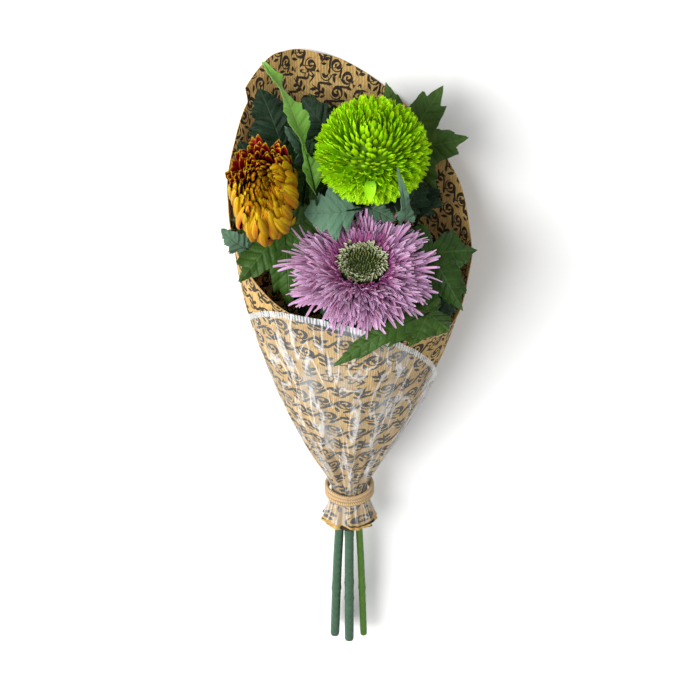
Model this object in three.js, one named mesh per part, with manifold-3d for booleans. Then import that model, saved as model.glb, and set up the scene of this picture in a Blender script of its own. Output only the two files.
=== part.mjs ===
// A wrapped bouquet of three chrysanthemums with maple sprigs, lying on its back.
// Millimetres. +Y runs along the stems towards the blooms, +Z is up and is the side that the
// blooms are shown on, X is across. The bouquet is worked out with the neck tie at Y = 0 and the
// surface it lies on at Z = 0, and is moved at the end so that the origin is under its middle.

import * as THREE from 'three';
import { mergeVertices } from 'three/addons/utils/BufferGeometryUtils.js';
import Module from 'manifold-3d';

const wasm = await Module();
wasm.setup();

// ---------------------------------------------------------------- driving dimensions

const NECK_HEIGHT = 36;            // middle of the tied neck above the surface
const AXIS_SLOPE = Math.tan(THREE.MathUtils.degToRad(8)); // the lying bundle rises to the blooms
const STEM_END_Y = -142;           // the cut ends
const STEM_PITCH = 7.5;            // between stem centres in the neck
const MUM_STEM_RADIUS = 3.3;
const TWIG_RADIUS = 2.5;
const CLEAR = 0.35;                // gap between touching pieces

const PAPER = {
  thickness: 0.8,
  neckRadius: 12.6,                // outer face, at the tie
  skirtY: -28, skirtRadius: 20,    // the paper flares again below the tie
  headY: 240, halfWidth: 80, frontHeight: 80, // from the axis at the blooms, where it stops flaring
  aside: 3,                        // the middle of the blooms is this much to the right
  pinch: 0.06,                     // share of headY over which the tie holds the paper in
  backSag: 2.2,                    // how far the back would dip if the surface didn't flatten it
  layerGap: 0.6,
  startAngle: 150, turn: 450,      // degrees round from the front; past 360 it overlaps itself
  columns: 30, rows: 6,            // of the sheet, the rows above the neck's own stations
};
const FILM = {
  thickness: 0.6, gap: 0.4, looser: 1.3, bottomY: -24,
  longest: -22, longY: 192, shortY: 60, // its upper edge: angle and station of the most, least station
  sides: 24, rows: 4,
};
const NECK_STATIONS = [-14, -4, 4, 20, 45]; // where the neck's sections are taken
const TIE = { width: 9, wire: 1.6, strands: 3 };

// Petals spread over their core up to `spread` degrees from the way the bloom faces.
const POMPON = { radius: 36, core: 25, squat: 0.94, petals: 80, spread: 118 };
const BRONZE = {
  radius: 31, core: 18, squat: 0.9, petals: 50, outer: 15, spread: 112, narrow: 0.84, tall: 1.16,
};
const LILAC = { radius: 48, disc: 14.5, rays: 72 };
const LEAF_THICKNESS = 0.8;
const PETAL_KEEL = 1.7;             // height of a petal's keel
const SUNK = 4;                     // of a petal's root in its core
const HUB_DEPTH = 11;               // of the lilac bloom's back below its middle

// Where each bloom's middle is, and the way that it faces.
const POMPON_AT = { at: [14.6, 282, 95], facing: [0, 0.84, 0.54] };
const LILAC_AT = { at: [8.3, 211, 113], facing: [0.03, 0.89, 0.45] };
const BRONZE_AT = { at: [-50.5, 255, 101], facing: [-0.1, 0.56, 0.82] };

const GOLDEN_ANGLE = Math.PI * (3 - Math.sqrt(5));
const rad = THREE.MathUtils.degToRad;
const vec = (p) => new THREE.Vector3(...p);
const FINEST = 0.08;                 // what a joined solid may lose in the simplifying of its faces
const mix = (a, b, t) => a + (b - a) * t;
const clamp01 = (t) => Math.min(1, Math.max(0, t));
const smooth = (t) => clamp01(t) ** 2 * (3 - 2 * clamp01(t));

// ---------------------------------------------------------------- solids

// A manifold-3d solid from points and triangles that close.
function solidOf(points, triangles) {
  const geometry = new THREE.BufferGeometry();
  const numbers = points.flatMap((p) => p.toArray());
  geometry.setAttribute('position', new THREE.Float32BufferAttribute(numbers, 3));
  geometry.setIndex(triangles.flat());
  return solidOfGeometry(geometry);
}

function solidOfGeometry(source) {
  const geometry = source.clone();
  for (const name of ['normal', 'uv']) geometry.deleteAttribute(name);
  const merged = mergeVertices(geometry, 1e-4);
  return new wasm.Manifold(new wasm.Mesh({
    numProp: 3,
    vertProperties: new Float32Array(merged.attributes.position.array),
    triVerts: new Uint32Array(merged.index.array),
  }));
}

function geometryOf(solid) {
  const mesh = solid.getMesh();
  const positions = new Float32Array(mesh.numVert * 3);
  for (let i = 0; i < mesh.numVert; i++) {
    positions.set(mesh.vertProperties.subarray(i * mesh.numProp, i * mesh.numProp + 3), i * 3);
  }
  const geometry = new THREE.BufferGeometry();
  geometry.setAttribute('position', new THREE.BufferAttribute(positions, 3));
  geometry.setIndex(new THREE.BufferAttribute(mesh.triVerts, 1));
  return geometry;
}

const union = (solids) => wasm.Manifold.union(solids);

// The largest body of a solid: what a cut leaves loose is dropped.
function largest(solid) {
  const bodies = solid.decompose();
  return bodies.reduce((best, body) => (body.volume() > best.volume() ? body : best));
}

// Two grids of the same size, one on each face of a sheet, closed along their four edges.
function sheetSolid(upper, lower) {
  const rows = upper.length;
  const columns = upper[0].length;
  const points = [...upper.flat(), ...lower.flat()];
  const up = (i, j) => i * columns + j;
  const down = (i, j) => rows * columns + up(i, j);
  const triangles = [];
  const quad = (a, b, c, d) => triangles.push([a, b, c], [a, c, d]);
  for (let i = 0; i + 1 < rows; i++) {
    for (let j = 0; j + 1 < columns; j++) {
      quad(up(i, j), up(i, j + 1), up(i + 1, j + 1), up(i + 1, j));
      quad(down(i, j), down(i + 1, j), down(i + 1, j + 1), down(i, j + 1));
    }
    quad(up(i, 0), up(i + 1, 0), down(i + 1, 0), down(i, 0));
    quad(up(i + 1, columns - 1), up(i, columns - 1), down(i, columns - 1), down(i + 1, columns - 1));
  }
  for (let j = 0; j + 1 < columns; j++) {
    quad(up(0, j + 1), up(0, j), down(0, j), down(0, j + 1));
    quad(up(rows - 1, j), up(rows - 1, j + 1), down(rows - 1, j + 1), down(rows - 1, j));
  }
  return outward(points, triangles);
}

// Closes a mesh with its faces pointing out, whichever way round its grid ran.
function outward(points, triangles) {
  const made = solidOf(points, triangles);
  return made.volume() > 0 ? made : solidOf(points, triangles.map(([a, b, c]) => [a, c, b]));
}

// Rings of the same number of points, joined in turn; a ring of one point is a tip.
function loft(rings) {
  const points = rings.flat();
  const starts = rings.map((ring, i) => rings.slice(0, i).reduce((sum, r) => sum + r.length, 0));
  const triangles = [];
  for (let i = 0; i + 1 < rings.length; i++) {
    const count = Math.max(rings[i].length, rings[i + 1].length);
    const low = (j) => starts[i] + (j % rings[i].length);
    const high = (j) => starts[i + 1] + (j % rings[i + 1].length);
    for (let j = 0; j < count; j++) {
      if (rings[i].length > 1) triangles.push([low(j), low(j + 1), high(j)]);
      if (rings[i + 1].length > 1) triangles.push([low(j + 1), high(j + 1), high(j)]);
    }
  }
  for (const [i, flip] of [[0, true], [rings.length - 1, false]]) {
    for (let j = 1; j + 1 < rings[i].length; j++) {
      const face = [starts[i], starts[i] + j, starts[i] + j + 1];
      triangles.push(flip ? face.reverse() : face);
    }
  }
  return outward(points, triangles);
}

// A round tube along a curve, whose radius is a function of the share of its length.
function tube(curve, steps, sides, radiusAt) {
  const frames = curve.computeFrenetFrames(steps, false);
  const rings = [];
  for (let i = 0; i <= steps; i++) {
    const middle = curve.getPointAt(i / steps);
    const radius = radiusAt(i / steps);
    rings.push(Array.from({ length: sides }, (_, j) => {
      const turn = 2 * Math.PI * j / sides;
      return middle.clone()
        .addScaledVector(frames.normals[i], radius * Math.cos(turn))
        .addScaledVector(frames.binormals[i], radius * Math.sin(turn));
    }));
  }
  return loft(rings);
}

// The matrix that stands a bloom's own frame, +Z out of its face, at its place.
function standing({ at, facing }) {
  const turn = new THREE.Quaternion().setFromUnitVectors(vec([0, 0, 1]), vec(facing).normalize());
  return new THREE.Matrix4().compose(vec(at), turn, vec([1, 1, 1]));
}

const placed = (solid, place) => solid.transform(standing(place).elements);

// The smooth outside of a placed bloom, a little larger than the bloom.
function aroundBloom(bloom, { at }) {
  const outside = bloom.hull();
  const box = outside.boundingBox();
  const reach = Math.max(...box.max.map((high, i) => (high - box.min[i]) / 2));
  return outside.translate(at.map((x) => -x)).scale(1 + CLEAR / reach).translate(at);
}

// ---------------------------------------------------------------- paper and film

const axisHeight = (y) => NECK_HEIGHT + AXIS_SLOPE * y;

// Distance from the bundle's axis to the paper's outer face, for a cone that reaches `full` at headY.
function flare(y, full) {
  if (y < 0) return mix(PAPER.neckRadius, PAPER.skirtRadius, (y / PAPER.skirtY) ** 1.6);
  const t = y / PAPER.headY;
  const pinched = (1 + PAPER.pinch) * t / (t + PAPER.pinch);
  return PAPER.neckRadius + (full - PAPER.neckRadius) * (t < 1 ? pinched * t * (2 - t) : 1);
}

// A point of the wrap at a station y and an angle in degrees from the front (+Z) towards +X,
// moved out from the paper's outer face by `offset`. The surface that it lies on flattens its back.
function wrapPoint(y, degrees, offset = 0) {
  const angle = rad(degrees);
  const height = axisHeight(y);
  const wide = flare(y, PAPER.halfWidth);
  const front = flare(y, PAPER.frontHeight);
  const back = Math.min(wide, height + PAPER.backSag);
  const [s, c] = [Math.sin(angle), Math.cos(angle)];
  const shaped = new THREE.Vector3(
    PAPER.aside * smooth(y / 200) + wide * s, y, height + (c < 0 ? back : front) * c);
  shaped.z = Math.max(shaped.z, 0);
  if (!offset) return shaped;
  const round = [wrapPoint(y, degrees + 1), wrapPoint(y, degrees - 1)];
  const along = [wrapPoint(y + 1, degrees), wrapPoint(y - 1, degrees)];
  const normal = round[0].sub(round[1]).cross(along[0].sub(along[1])).normalize();
  return shaped.addScaledVector(normal, offset);
}

// The upper edge of the paper, station against angle, from the start edge inside the back, round
// the left side and the front to the end edge outside the back. Angles run on past 360.
const PAPER_RIM = [
  [150, 266], [165, 280], [180, 293], [195, 302], [210, 303], [225, 296], [238, 280], [252, 254],
  [275, 230], [292, 211], [319, 190], [345, 180], [362, 175], [380, 171], [400, 165], [415, 161],
  [430, 167], [450, 189], [465, 208], [480, 238], [495, 258], [515, 281], [535, 302], [548, 312],
  [566, 319], [582, 318], [592, 306], [600, 284],
];

function rimY(angle) {
  const next = PAPER_RIM.findIndex(([a]) => a >= angle);
  if (next <= 0) return PAPER_RIM.at(next).at(1);
  const [[a0, y0], [a1, y1]] = [PAPER_RIM[next - 1], PAPER_RIM[next]];
  return mix(y0, y1, (angle - a0) / (a1 - a0));
}

// The stations of one line of the wrap: through the neck, then on evenly to its upper edge.
function stations(bottom, top, rows) {
  const last = NECK_STATIONS.at(-1);
  const above = Array.from({ length: rows }, (_, i) => mix(last, top, (i + 1) / rows));
  return [bottom, ...NECK_STATIONS, ...above];
}

// The one sheet of paper: it starts inside the back, goes once round and ends outside the back.
// Columns `from` to `to` of it, with its outer face moved in by `inset`.
function paperSheet(inset, thickness, from = 0, to = PAPER.columns, higher = 0) {
  const lines = Array.from({ length: to - from + 1 }, (_, j) => {
    const angle = PAPER.startAngle + PAPER.turn * (from + j) / PAPER.columns;
    return { angle, stations: stations(PAPER.skirtY, rimY(angle) + higher, PAPER.rows) };
  });
  const face = (depth) => lines[0].stations.map((_, i) => lines.map(({ angle, stations: ys }) => {
    const inner = 1 - smooth((angle - 232) / 40);
    return wrapPoint(ys[i], angle, -depth - inner * (PAPER.thickness + PAPER.layerGap));
  }));
  return sheetSolid(face(inset), face(inset + thickness));
}

// What other pieces have to keep out of: the paper made thicker by the clearance on both faces.
function paperKeepOut() {
  const middle = Math.round(PAPER.columns / 3);
  return union([[0, middle + 1], [middle - 1, PAPER.columns]].map(([from, to]) =>
    paperSheet(-CLEAR, PAPER.thickness + 2 * CLEAR, from, to, CLEAR)));
}

// The clear film round the outside of the lower cone, longer in front than behind.
function filmSleeve(extra = 0) {
  const lines = Array.from({ length: FILM.sides }, (_, j) => {
    const angle = 360 * j / FILM.sides;
    const share = (1 + Math.cos(rad(angle - FILM.longest))) / 2;
    const top = mix(FILM.shortY, FILM.longY, share ** 1.2);
    return { angle, stations: stations(FILM.bottomY, top, FILM.rows) };
  });
  const wall = (offset) => lines[0].stations.map((_, i) => lines.map(({ angle, stations: ys }) =>
    wrapPoint(ys[i], angle, FILM.gap + FILM.looser * smooth((ys[i] - 16) / 120) + offset)));
  return tyre([...wall(-extra), ...wall(FILM.thickness + extra).reverse()]);
}

// Closed rings joined in turn, with the last joined to the first again.
function tyre(rings) {
  const sides = rings[0].length;
  const triangles = [];
  rings.forEach((_, i) => {
    const next = (i + 1) % rings.length;
    for (let j = 0; j < sides; j++) {
      const k = (j + 1) % sides;
      triangles.push([i * sides + j, i * sides + k, next * sides + k]);
      triangles.push([i * sides + j, next * sides + k, next * sides + j]);
    }
  });
  return outward(rings.flat(), triangles);
}

// An elastic tie of a few round strands, wound round the neck.
function neckTie() {
  const bore = flare(TIE.width / 2, PAPER.halfWidth) + FILM.gap + FILM.thickness + 3 * CLEAR;
  const half = TIE.width / 2;
  const crown = (a) => bore + TIE.wire + TIE.wire * Math.abs(Math.sin(a * Math.PI * TIE.strands));
  const steps = 3 * TIE.strands;
  const profile = Array.from({ length: steps + 1 }, (_, i) =>
    new THREE.Vector2(crown(i / steps), mix(-half, half, i / steps)));
  profile.push(new THREE.Vector2(bore, half), new THREE.Vector2(bore, -half), profile[0].clone());
  return new THREE.LatheGeometry(profile, 22);
}

// ---------------------------------------------------------------- stems

// A stem's place in the neck: 0 is the middle, the others stand round it at an angle from +Z.
const NECK_PLACES = {
  middle: null,
  front: 0,
  frontRight: 60,
  frontLeft: -60,
  backLeft: -120,
  back: 180,
};

function neckOffset(place) {
  const angle = NECK_PLACES[place];
  return angle === null ? [0, 0] : [STEM_PITCH * Math.sin(rad(angle)), STEM_PITCH * Math.cos(rad(angle))];
}

// The centre line from the cut end, through the neck, to where the stem carries its bloom or tip.
function stemCurve(place, top, facing, reach = 26) {
  const [dx, dz] = neckOffset(place);
  const through = (y, spread) => vec([dx * spread, y, axisHeight(y) + dz * spread]);
  const end = vec(top);
  const before = end.clone().addScaledVector(vec(facing).normalize(), -reach);
  return new THREE.CatmullRomCurve3([
    through(STEM_END_Y, 1.7), through(-70, 1.35), through(-24, 1.04), through(0, 1), through(24, 1.04),
    through(24, 1.04).lerp(before, 0.52), before, end,
  ], false, 'centripetal');
}

// ---------------------------------------------------------------- leaves

// Half outline of a chrysanthemum leaf: share of the length, half width as a share of the widest.
const MUM_OUTLINE = [
  [0, 0.07], [0.14, 0.13], [0.24, 0.62], [0.32, 0.76], [0.38, 0.52], [0.50, 1.0], [0.58, 0.96],
  [0.64, 0.62], [0.78, 0.66], [0.90, 0.32], [1, 0.04],
];

// Half outline of a maple leaf about the point where its veins meet: degrees from the tip, reach.
const MAPLE_OUTLINE = [
  [0, 1], [10, 0.79], [17, 0.77], [26, 0.58], [37, 0.70], [47, 0.93], [55, 0.78], [64, 0.74],
  [76, 0.54], [90, 0.60], [102, 0.70], [117, 0.50], [146, 0.42], [172, 0.14],
];

// Turns a flat leaf (x across in mm, y along in shares of the chord) into one in space. The leaf
// runs from heart to tip, bows out along its normal, and folds up on both sides of its rib.
function leafPlace({ heart, tip, normal, bow = 0.1, fold = 0.15 }) {
  const start = vec(heart);
  const chord = vec(tip).sub(start);
  const length = chord.length();
  const along = chord.clone().normalize();
  const face = vec(normal).addScaledVector(along, -vec(normal).dot(along)).normalize();
  const across = along.clone().cross(face);
  return {
    length,
    point(x, y, lift = 0) {
      const rise = bow * 4 * y * (1 - y) * length + fold * Math.abs(x);
      return start.clone().addScaledVector(along, y * length).addScaledVector(across, x)
        .addScaledVector(face, rise + lift);
    },
  };
}

function mumLeafBlade(spec, thickness = LEAF_THICKNESS) {
  const place = leafPlace(spec);
  const face = (lift) => MUM_OUTLINE.map(([y, w]) =>
    [-1, 0, 1].map((side) => {
      const forward = side ? 0.05 * w : 0;
      return place.point(side * w * spec.width / 2, mix(y, 1, forward), lift);
    }));
  return sheetSolid(face(thickness / 2), face(-thickness / 2));
}

function mapleLeafBlade(spec, thickness = LEAF_THICKNESS) {
  const place = leafPlace(spec);
  const half = MAPLE_OUTLINE;
  const outline = [...half.map(([a, r]) => [a, r]), ...half.slice(1).reverse().map(([a, r]) => [-a, r])];
  const broad = spec.width / place.length;
  const ringAt = (share, lift) => outline.map(([a, r]) =>
    place.point(share * r * Math.sin(rad(a)) * place.length * broad, share * r * Math.cos(rad(a)), lift));
  const rings = [
    [place.point(0, 0, thickness / 2)], ringAt(0.5, thickness / 2), ringAt(1, thickness / 2),
    ringAt(1, -thickness / 2), ringAt(0.5, -thickness / 2), [place.point(0, 0, -thickness / 2)],
  ];
  return loft(rings);
}

// The leaf's stalk, from inside the stem to just past the start of the blade.
function leafStalk(curve, spec, radius) {
  const place = leafPlace(spec);
  const root = curve.getPointAt(spec.at);
  const heart = place.point(0, 0);
  const bend = heart.clone().multiplyScalar(2).sub(place.point(0, 0.3)).lerp(root, 0.35);
  const line = new THREE.CatmullRomCurve3([root, bend, heart, place.point(0, 0.1)], false, 'centripetal');
  return tube(line, 4, 4, (t) => mix(radius * 1.25, radius * 0.75, t));
}

// ---------------------------------------------------------------- blooms

// A point of a petal in the bloom's own frame. The petal starts at radius r0 and height z0, climbs at
// `rise` degrees from flat and bends by `curl` degrees towards the bloom's axis along its length.
function petalPoint({ turn, r0, z0, rise, curl, length }, across, along, lift) {
  const start = rad(rise);
  const bend = rad(Math.abs(curl) < 1 ? 1 : curl);
  const slope = start + bend * along;
  const r = r0 + length / bend * (Math.sin(slope) - Math.sin(start));
  const z = z0 - length / bend * (Math.cos(slope) - Math.cos(start));
  const [out, high] = [r - Math.sin(slope) * lift, z + Math.cos(slope) * lift];
  return new THREE.Vector3(
    out * Math.cos(turn) - across * Math.sin(turn),
    out * Math.sin(turn) + across * Math.cos(turn), high);
}

// A three-sided petal with a blunt end, flat above and keeled below.
function keeledPetal(petal, widths, thickness) {
  const last = widths.length - 1;
  return loft(widths.map((width, i) => [
    petalPoint(petal, -width / 2, i / last, 0), petalPoint(petal, width / 2, i / last, 0),
    petalPoint(petal, 0, i / last, -thickness * (i < last ? 1 : 0.6)),
  ]));
}

// A flat petal that ends in two prongs.
function forkedPetal(petal, width, spread, thickness) {
  const outline = [
    [0, 0], [-width / 2, 0.6], [-spread / 2, 0.94], [0, 0.76], [spread / 2, 1], [width / 2, 0.6],
  ];
  const faces = [[0, 5, 1], [1, 5, 3], [1, 3, 2], [5, 4, 3]];
  const count = outline.length;
  const points = [thickness / 2, -thickness / 2].flatMap((lift) =>
    outline.map(([x, y]) => petalPoint(petal, x, y, lift)));
  const triangles = faces.flatMap(([a, b, c]) => [[a, b, c], [count + a, count + c, count + b]]);
  for (let i = 0; i < count; i++) {
    const j = (i + 1) % count;
    triangles.push([i, j, count + j], [i, count + j, count + i]);
  }
  return outward(points, triangles);
}

// A squat ball, its height a share of its width, as the heart that the petals stand out of.
function core(radius, squat) {
  return solidOfGeometry(new THREE.SphereGeometry(radius, 14, 7).rotateX(Math.PI / 2).scale(1, 1, squat));
}

// The green ball: short scooped petals stand out of a core on all sides but the back.
function pomponBloom() {
  const { radius, core: inner, squat, petals, spread } = POMPON;
  const solids = [core(inner, squat)];
  for (let k = 0; k < petals; k++) {
    const polar = Math.acos(1 - (k + 0.5) / petals * (1 - Math.cos(rad(spread))));
    const share = polar / rad(spread);
    const petal = {
      turn: k * GOLDEN_ANGLE,
      r0: (inner - SUNK) * Math.sin(polar), z0: (inner - SUNK) * squat * Math.cos(polar),
      rise: 90 - THREE.MathUtils.radToDeg(polar) - 10 * share, curl: 24 + 16 * share,
      length: (radius - inner + 4.5) * mix(0.84, 1.1, share),
    };
    const width = mix(3.8, 8, smooth(share * 1.6));
    solids.push(keeledPetal(petal, [width * 0.7, width, width * 0.4], PETAL_KEEL));
  }
  return union(solids).simplify(FINEST);
}

// The bronze ball: broad petals that close over the middle, and a few outer ones that stand away.
function bronzeBloom() {
  const { radius, core: inner, squat, petals, spread, outer, narrow, tall } = BRONZE;
  const solids = [core(inner, squat)];
  for (let k = 0; k < petals; k++) {
    const polar = Math.acos(1 - (k + 0.5) / petals * (1 - Math.cos(rad(spread))));
    const share = k / petals;
    const away = k >= petals - outer;
    const petal = {
      turn: k * GOLDEN_ANGLE,
      r0: (inner - SUNK) * Math.sin(polar), z0: (inner - SUNK) * squat * Math.cos(polar),
      rise: away ? 16 : mix(84, 24, share), curl: away ? 66 : mix(30, 96, share),
      length: away ? radius * 0.8 : mix(radius - inner + 2, radius * 0.92, share),
    };
    const width = away ? 8.5 : mix(4.8, 10, smooth(share * 1.5));
    solids.push(keeledPetal(petal, [width * 0.7, width, width * 0.9, width * 0.45], PETAL_KEEL));
  }
  return union(solids).scale([narrow, tall, 1]).simplify(FINEST);
}

// The lilac rays: rows of narrow petals with forked ends, upright by the disc and flat outside.
function lilacRays() {
  const { radius, disc, rays } = LILAC;
  const hub = new THREE.LatheGeometry([
    [0, -HUB_DEPTH], [7, -HUB_DEPTH], [disc + 2, -6], [disc + 2.5, -2], [disc + 1.6, 0.5], [0, 0.5],
  ].map(([x, y]) => new THREE.Vector2(x, y)), 20).rotateX(Math.PI / 2);
  const solids = [solidOfGeometry(hub)];
  for (let k = 0; k < rays; k++) {
    const share = Math.sqrt((k + 0.5) / rays);
    const petal = {
      turn: k * GOLDEN_ANGLE,
      r0: disc + 0.9, z0: mix(-1, -4.5, share), rise: mix(72, 4, share), curl: mix(-40, -26, share),
      length: mix(16, radius - disc + 1, share),
    };
    solids.push(forkedPetal(petal, mix(2.6, 4.2, share), mix(3.4, 7.6, share), 0.9));
  }
  return union(solids).simplify(FINEST);
}

// The green eye: a low dome raised in a lattice of florets by a formula.
function lilacDisc() {
  const radius = LILAC.disc;
  const rows = 7;
  const sides = 24;
  const rings = [[new THREE.Vector3(0, 0, 0.9)]];
  rings.push(Array.from({ length: sides }, (_, j) => ringPoint(radius, j, 0.9)));
  for (let i = 0; i < rows; i++) {
    const share = 1 - i / rows;
    rings.push(Array.from({ length: sides }, (_, j) =>
      ringPoint(radius * share, j, 4.2 + 3.2 * Math.sqrt(1 - 0.8 * share ** 2) + ((i + j) % 2) * 1.1)));
  }
  rings.push([new THREE.Vector3(0, 0, 6.6)]);
  return loft(rings);

  function ringPoint(r, j, z) {
    const turn = 2 * Math.PI * j / sides;
    return new THREE.Vector3(r * Math.cos(turn), r * Math.sin(turn), z);
  }
}

// The green cup under a bloom, from the stem's top to the first petals, in the bloom's own frame.
function calyx(topZ, radius) {
  const cup = [
    [0, topZ - 10],
    [MUM_STEM_RADIUS, topZ - 10],
    [radius * 0.62, topZ - 5],
    [radius, topZ],
    [0, topZ],
  ].map(([x, y]) => new THREE.Vector2(x, y));
  return solidOfGeometry(new THREE.LatheGeometry(cup, 12).rotateX(Math.PI / 2));
}

// ---------------------------------------------------------------- the leafy stems

// Each leaf: where on its stem it starts (share of the stem's length), where the blade starts (heart)
// and ends (tip), which way its face looks, and how broad it is.
const GREEN_LEAVES = [
  { at: 0.97, heart: [8, 243, 88], tip: [-28, 247, 93], normal: [-0.1, 0.4, 0.9], width: 31, bow: 0.16 },
  { at: 0.97, heart: [11, 243, 90], tip: [29, 240, 104], normal: [0.1, 0.4, 0.9], width: 13, bow: 0.2 },
  { at: 0.96, heart: [28, 243, 88], tip: [29, 284, 136], normal: [0.3, -0.7, 0.65], width: 13, bow: 0.25 },
  { at: 0.74, heart: [2, 262, 50], tip: [-30, 298, 45], normal: [0.1, 0.1, 1], width: 32, bow: 0.14 },
  { at: 0.74, heart: [33, 226, 74], tip: [55, 258, 74], normal: [0.1, 0.2, 1], width: 30, bow: 0.12 },
];
const BRONZE_LEAVES = [
  { at: 0.78, heart: [-40, 258, 56], tip: [-57, 305, 44], normal: [0.2, 0.2, 0.9], width: 34, bow: 0.12 },
  { at: 0.82, heart: [-27, 262, 82], tip: [-36, 300, 102], normal: [0.8, -0.2, 0.5], width: 20, bow: 0.14 },
  { at: 0.74, heart: [-61, 215, 96], tip: [-80, 233, 104], normal: [-0.2, 0.3, 0.9], width: 17, bow: 0.16 },
  { at: 0.70, heart: [-52, 232, 54], tip: [-70, 272, 52], normal: [0.4, 0.2, 0.9], width: 30, bow: 0.1 },
];
const LILAC_LEAVES = [
  { at: 0.76, heart: [62, 212, 84], tip: [62, 170, 106], normal: [-0.2, 0.5, 0.85], width: 28, bow: 0.1 },
  { at: 0.76, heart: [4, 206, 84], tip: [40, 182, 124], normal: [0, 0.6, 0.8], width: 24, bow: 0.1 },
  { at: 0.76, heart: [-8, 204, 84], tip: [-14, 180, 126], normal: [0, 0.7, 0.7], width: 22, bow: 0.1 },
  { at: 0.72, heart: [48, 222, 62], tip: [66, 250, 56], normal: [-0.1, 0.3, 1], width: 32, bow: 0.1 },
];
const RIGHT_SPRIG_LEAVES = [
  { at: 0.88, heart: [33, 266, 54], tip: [60, 308, 46], normal: [-0.1, 0.3, 0.95], width: 46, bow: 0.08 },
  { at: 0.76, heart: [52, 223, 96], tip: [44, 178, 117], normal: [-0.1, 0.45, 0.9], width: 42, bow: 0.12 },
  { at: 0.70, heart: [50, 190, 124], tip: [-8, 166, 152], normal: [0.25, 0.8, 0.6], width: 30, bow: 0.14 },
];
const LEFT_SPRIG_LEAVES = [
  {
    at: 0.92, heart: [-23, 262, 98], tip: [-49, 338, 78],
    normal: [0.9, 0.2, 0.45], width: 34, bow: 0.06, fold: 0.3,
  },
  { at: 0.72, heart: [-42, 227, 86], tip: [-38, 182, 110], normal: [0.1, 0.5, 0.85], width: 46, bow: 0.12 },
];
const BACK_SPRIG_LEAVES = [
  { at: 0.86, heart: [-6, 240, 32], tip: [-26, 296, 28], normal: [0.1, 0, 1], width: 64, bow: 0.06 },
];

// All the leaves of a stem with their stalks, `extra` thicker and larger all round.
function foliage({ curve, blade, leaves }, extra = 0) {
  const stalk = (blade === mumLeafBlade ? 1.5 : 1.2) + extra;
  return union(leaves.flatMap((leaf) => {
    const along = vec(leaf.tip).sub(vec(leaf.heart)).normalize().multiplyScalar(extra);
    const spec = {
      ...leaf, width: leaf.width + 2 * extra,
      heart: vec(leaf.heart).sub(along).toArray(), tip: vec(leaf.tip).add(along).toArray(),
    };
    return [leafStalk(curve, leaf, stalk), blade(spec, LEAF_THICKNESS + 2 * extra)];
  }));
}

function stemTube({ curve, radius }, extra = 0) {
  return tube(curve, 13, 6, (t) => mix(1.04, 0.86, t) * radius + extra);
}

// A bloom's back end: a point on its axis, below its middle.
function under({ at, facing }, depth) {
  return vec(at).addScaledVector(vec(facing).normalize(), -depth).toArray();
}

// ---------------------------------------------------------------- assembly

const bouquet = new THREE.Group();

function add(name, geometry, color, roughness, extra = {}) {
  const material = new THREE.MeshStandardMaterial({ color, roughness, metalness: 0, ...extra });
  const mesh = new THREE.Mesh(geometry, material);
  mesh.name = name;
  bouquet.add(mesh);
  return mesh;
}

const blooms = {
  green_mum_bloom: placed(pomponBloom(), POMPON_AT),
  bronze_mum_bloom: placed(bronzeBloom(), BRONZE_AT),
  lilac_mum_rays: placed(lilacRays(), LILAC_AT),
  lilac_mum_disc: placed(lilacDisc(), LILAC_AT),
};

// `deep` is from a bloom's middle down to its back, `cup` the radius of the calyx there.
const mum = (name, place, bloom, deep, cup, leaves) => ({
  name, place, leaves, blade: mumLeafBlade, radius: MUM_STEM_RADIUS, bloom, deep, cup,
  curve: stemCurve(place, under(bloom, deep + 8), bloom.facing),
});
const maple = (name, place, top, facing, leaves) => ({
  name, place, leaves, blade: mapleLeafBlade, radius: TWIG_RADIUS, curve: stemCurve(place, top, facing),
});
const stems = [
  maple('maple_sprig_right', 'frontRight', [34, 258, 48], [0.2, 1, 0], RIGHT_SPRIG_LEAVES),
  maple('maple_sprig_left', 'backLeft', [-23, 254, 82], [0, 1, 0.3], LEFT_SPRIG_LEAVES),
  mum('green_mum_stem', 'middle', POMPON_AT, POMPON.squat * POMPON.core + CLEAR, 9, GREEN_LEAVES),
  mum('bronze_mum_stem', 'frontLeft', BRONZE_AT, BRONZE.squat * BRONZE.core + CLEAR, 8, BRONZE_LEAVES),
  mum('lilac_mum_stem', 'front', LILAC_AT, HUB_DEPTH + CLEAR, 9, LILAC_LEAVES),
  maple('maple_sprig_back', 'back', [-6, 236, 32], [-0.1, 1, 0], BACK_SPRIG_LEAVES),
];

// What a stem's leaves have to keep out of, each a little larger than the piece itself.
const keepOut = [
  paperKeepOut(), filmSleeve(CLEAR),
  aroundBloom(blooms.green_mum_bloom, POMPON_AT), aroundBloom(blooms.bronze_mum_bloom, BRONZE_AT),
  aroundBloom(blooms.lilac_mum_rays, LILAC_AT),
];
const grown = stems.map((stem) => foliage(stem, CLEAR));
const leafy = stems.map((stem, i) => {
  const others = stems.flatMap((other, j) => {
    if (j === i) return [];
    return j < i ? [stemTube(other, CLEAR), grown[j]] : [stemTube(other, CLEAR)];
  });
  const leaves = foliage(stem).subtract(union([...keepOut, ...others]));
  const solids = [stemTube(stem), leaves];
  if (stem.bloom) solids.push(placed(calyx(-stem.deep, stem.cup), stem.bloom));
  return { name: stem.name, solid: largest(largest(union(solids)).simplify(FINEST)) };
});

add('kraft_wrap', geometryOf(paperSheet(0, PAPER.thickness)), '#c39a5f', 0.85);
add('film_sleeve', geometryOf(filmSleeve()), '#e9eef0', 0.12, { transparent: true, opacity: 0.35 });
const tie = add('neck_tie', neckTie(), '#b8a07a', 0.8);
tie.position.set(0, 0, NECK_HEIGHT);
tie.rotation.x = Math.atan(AXIS_SLOPE);

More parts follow.
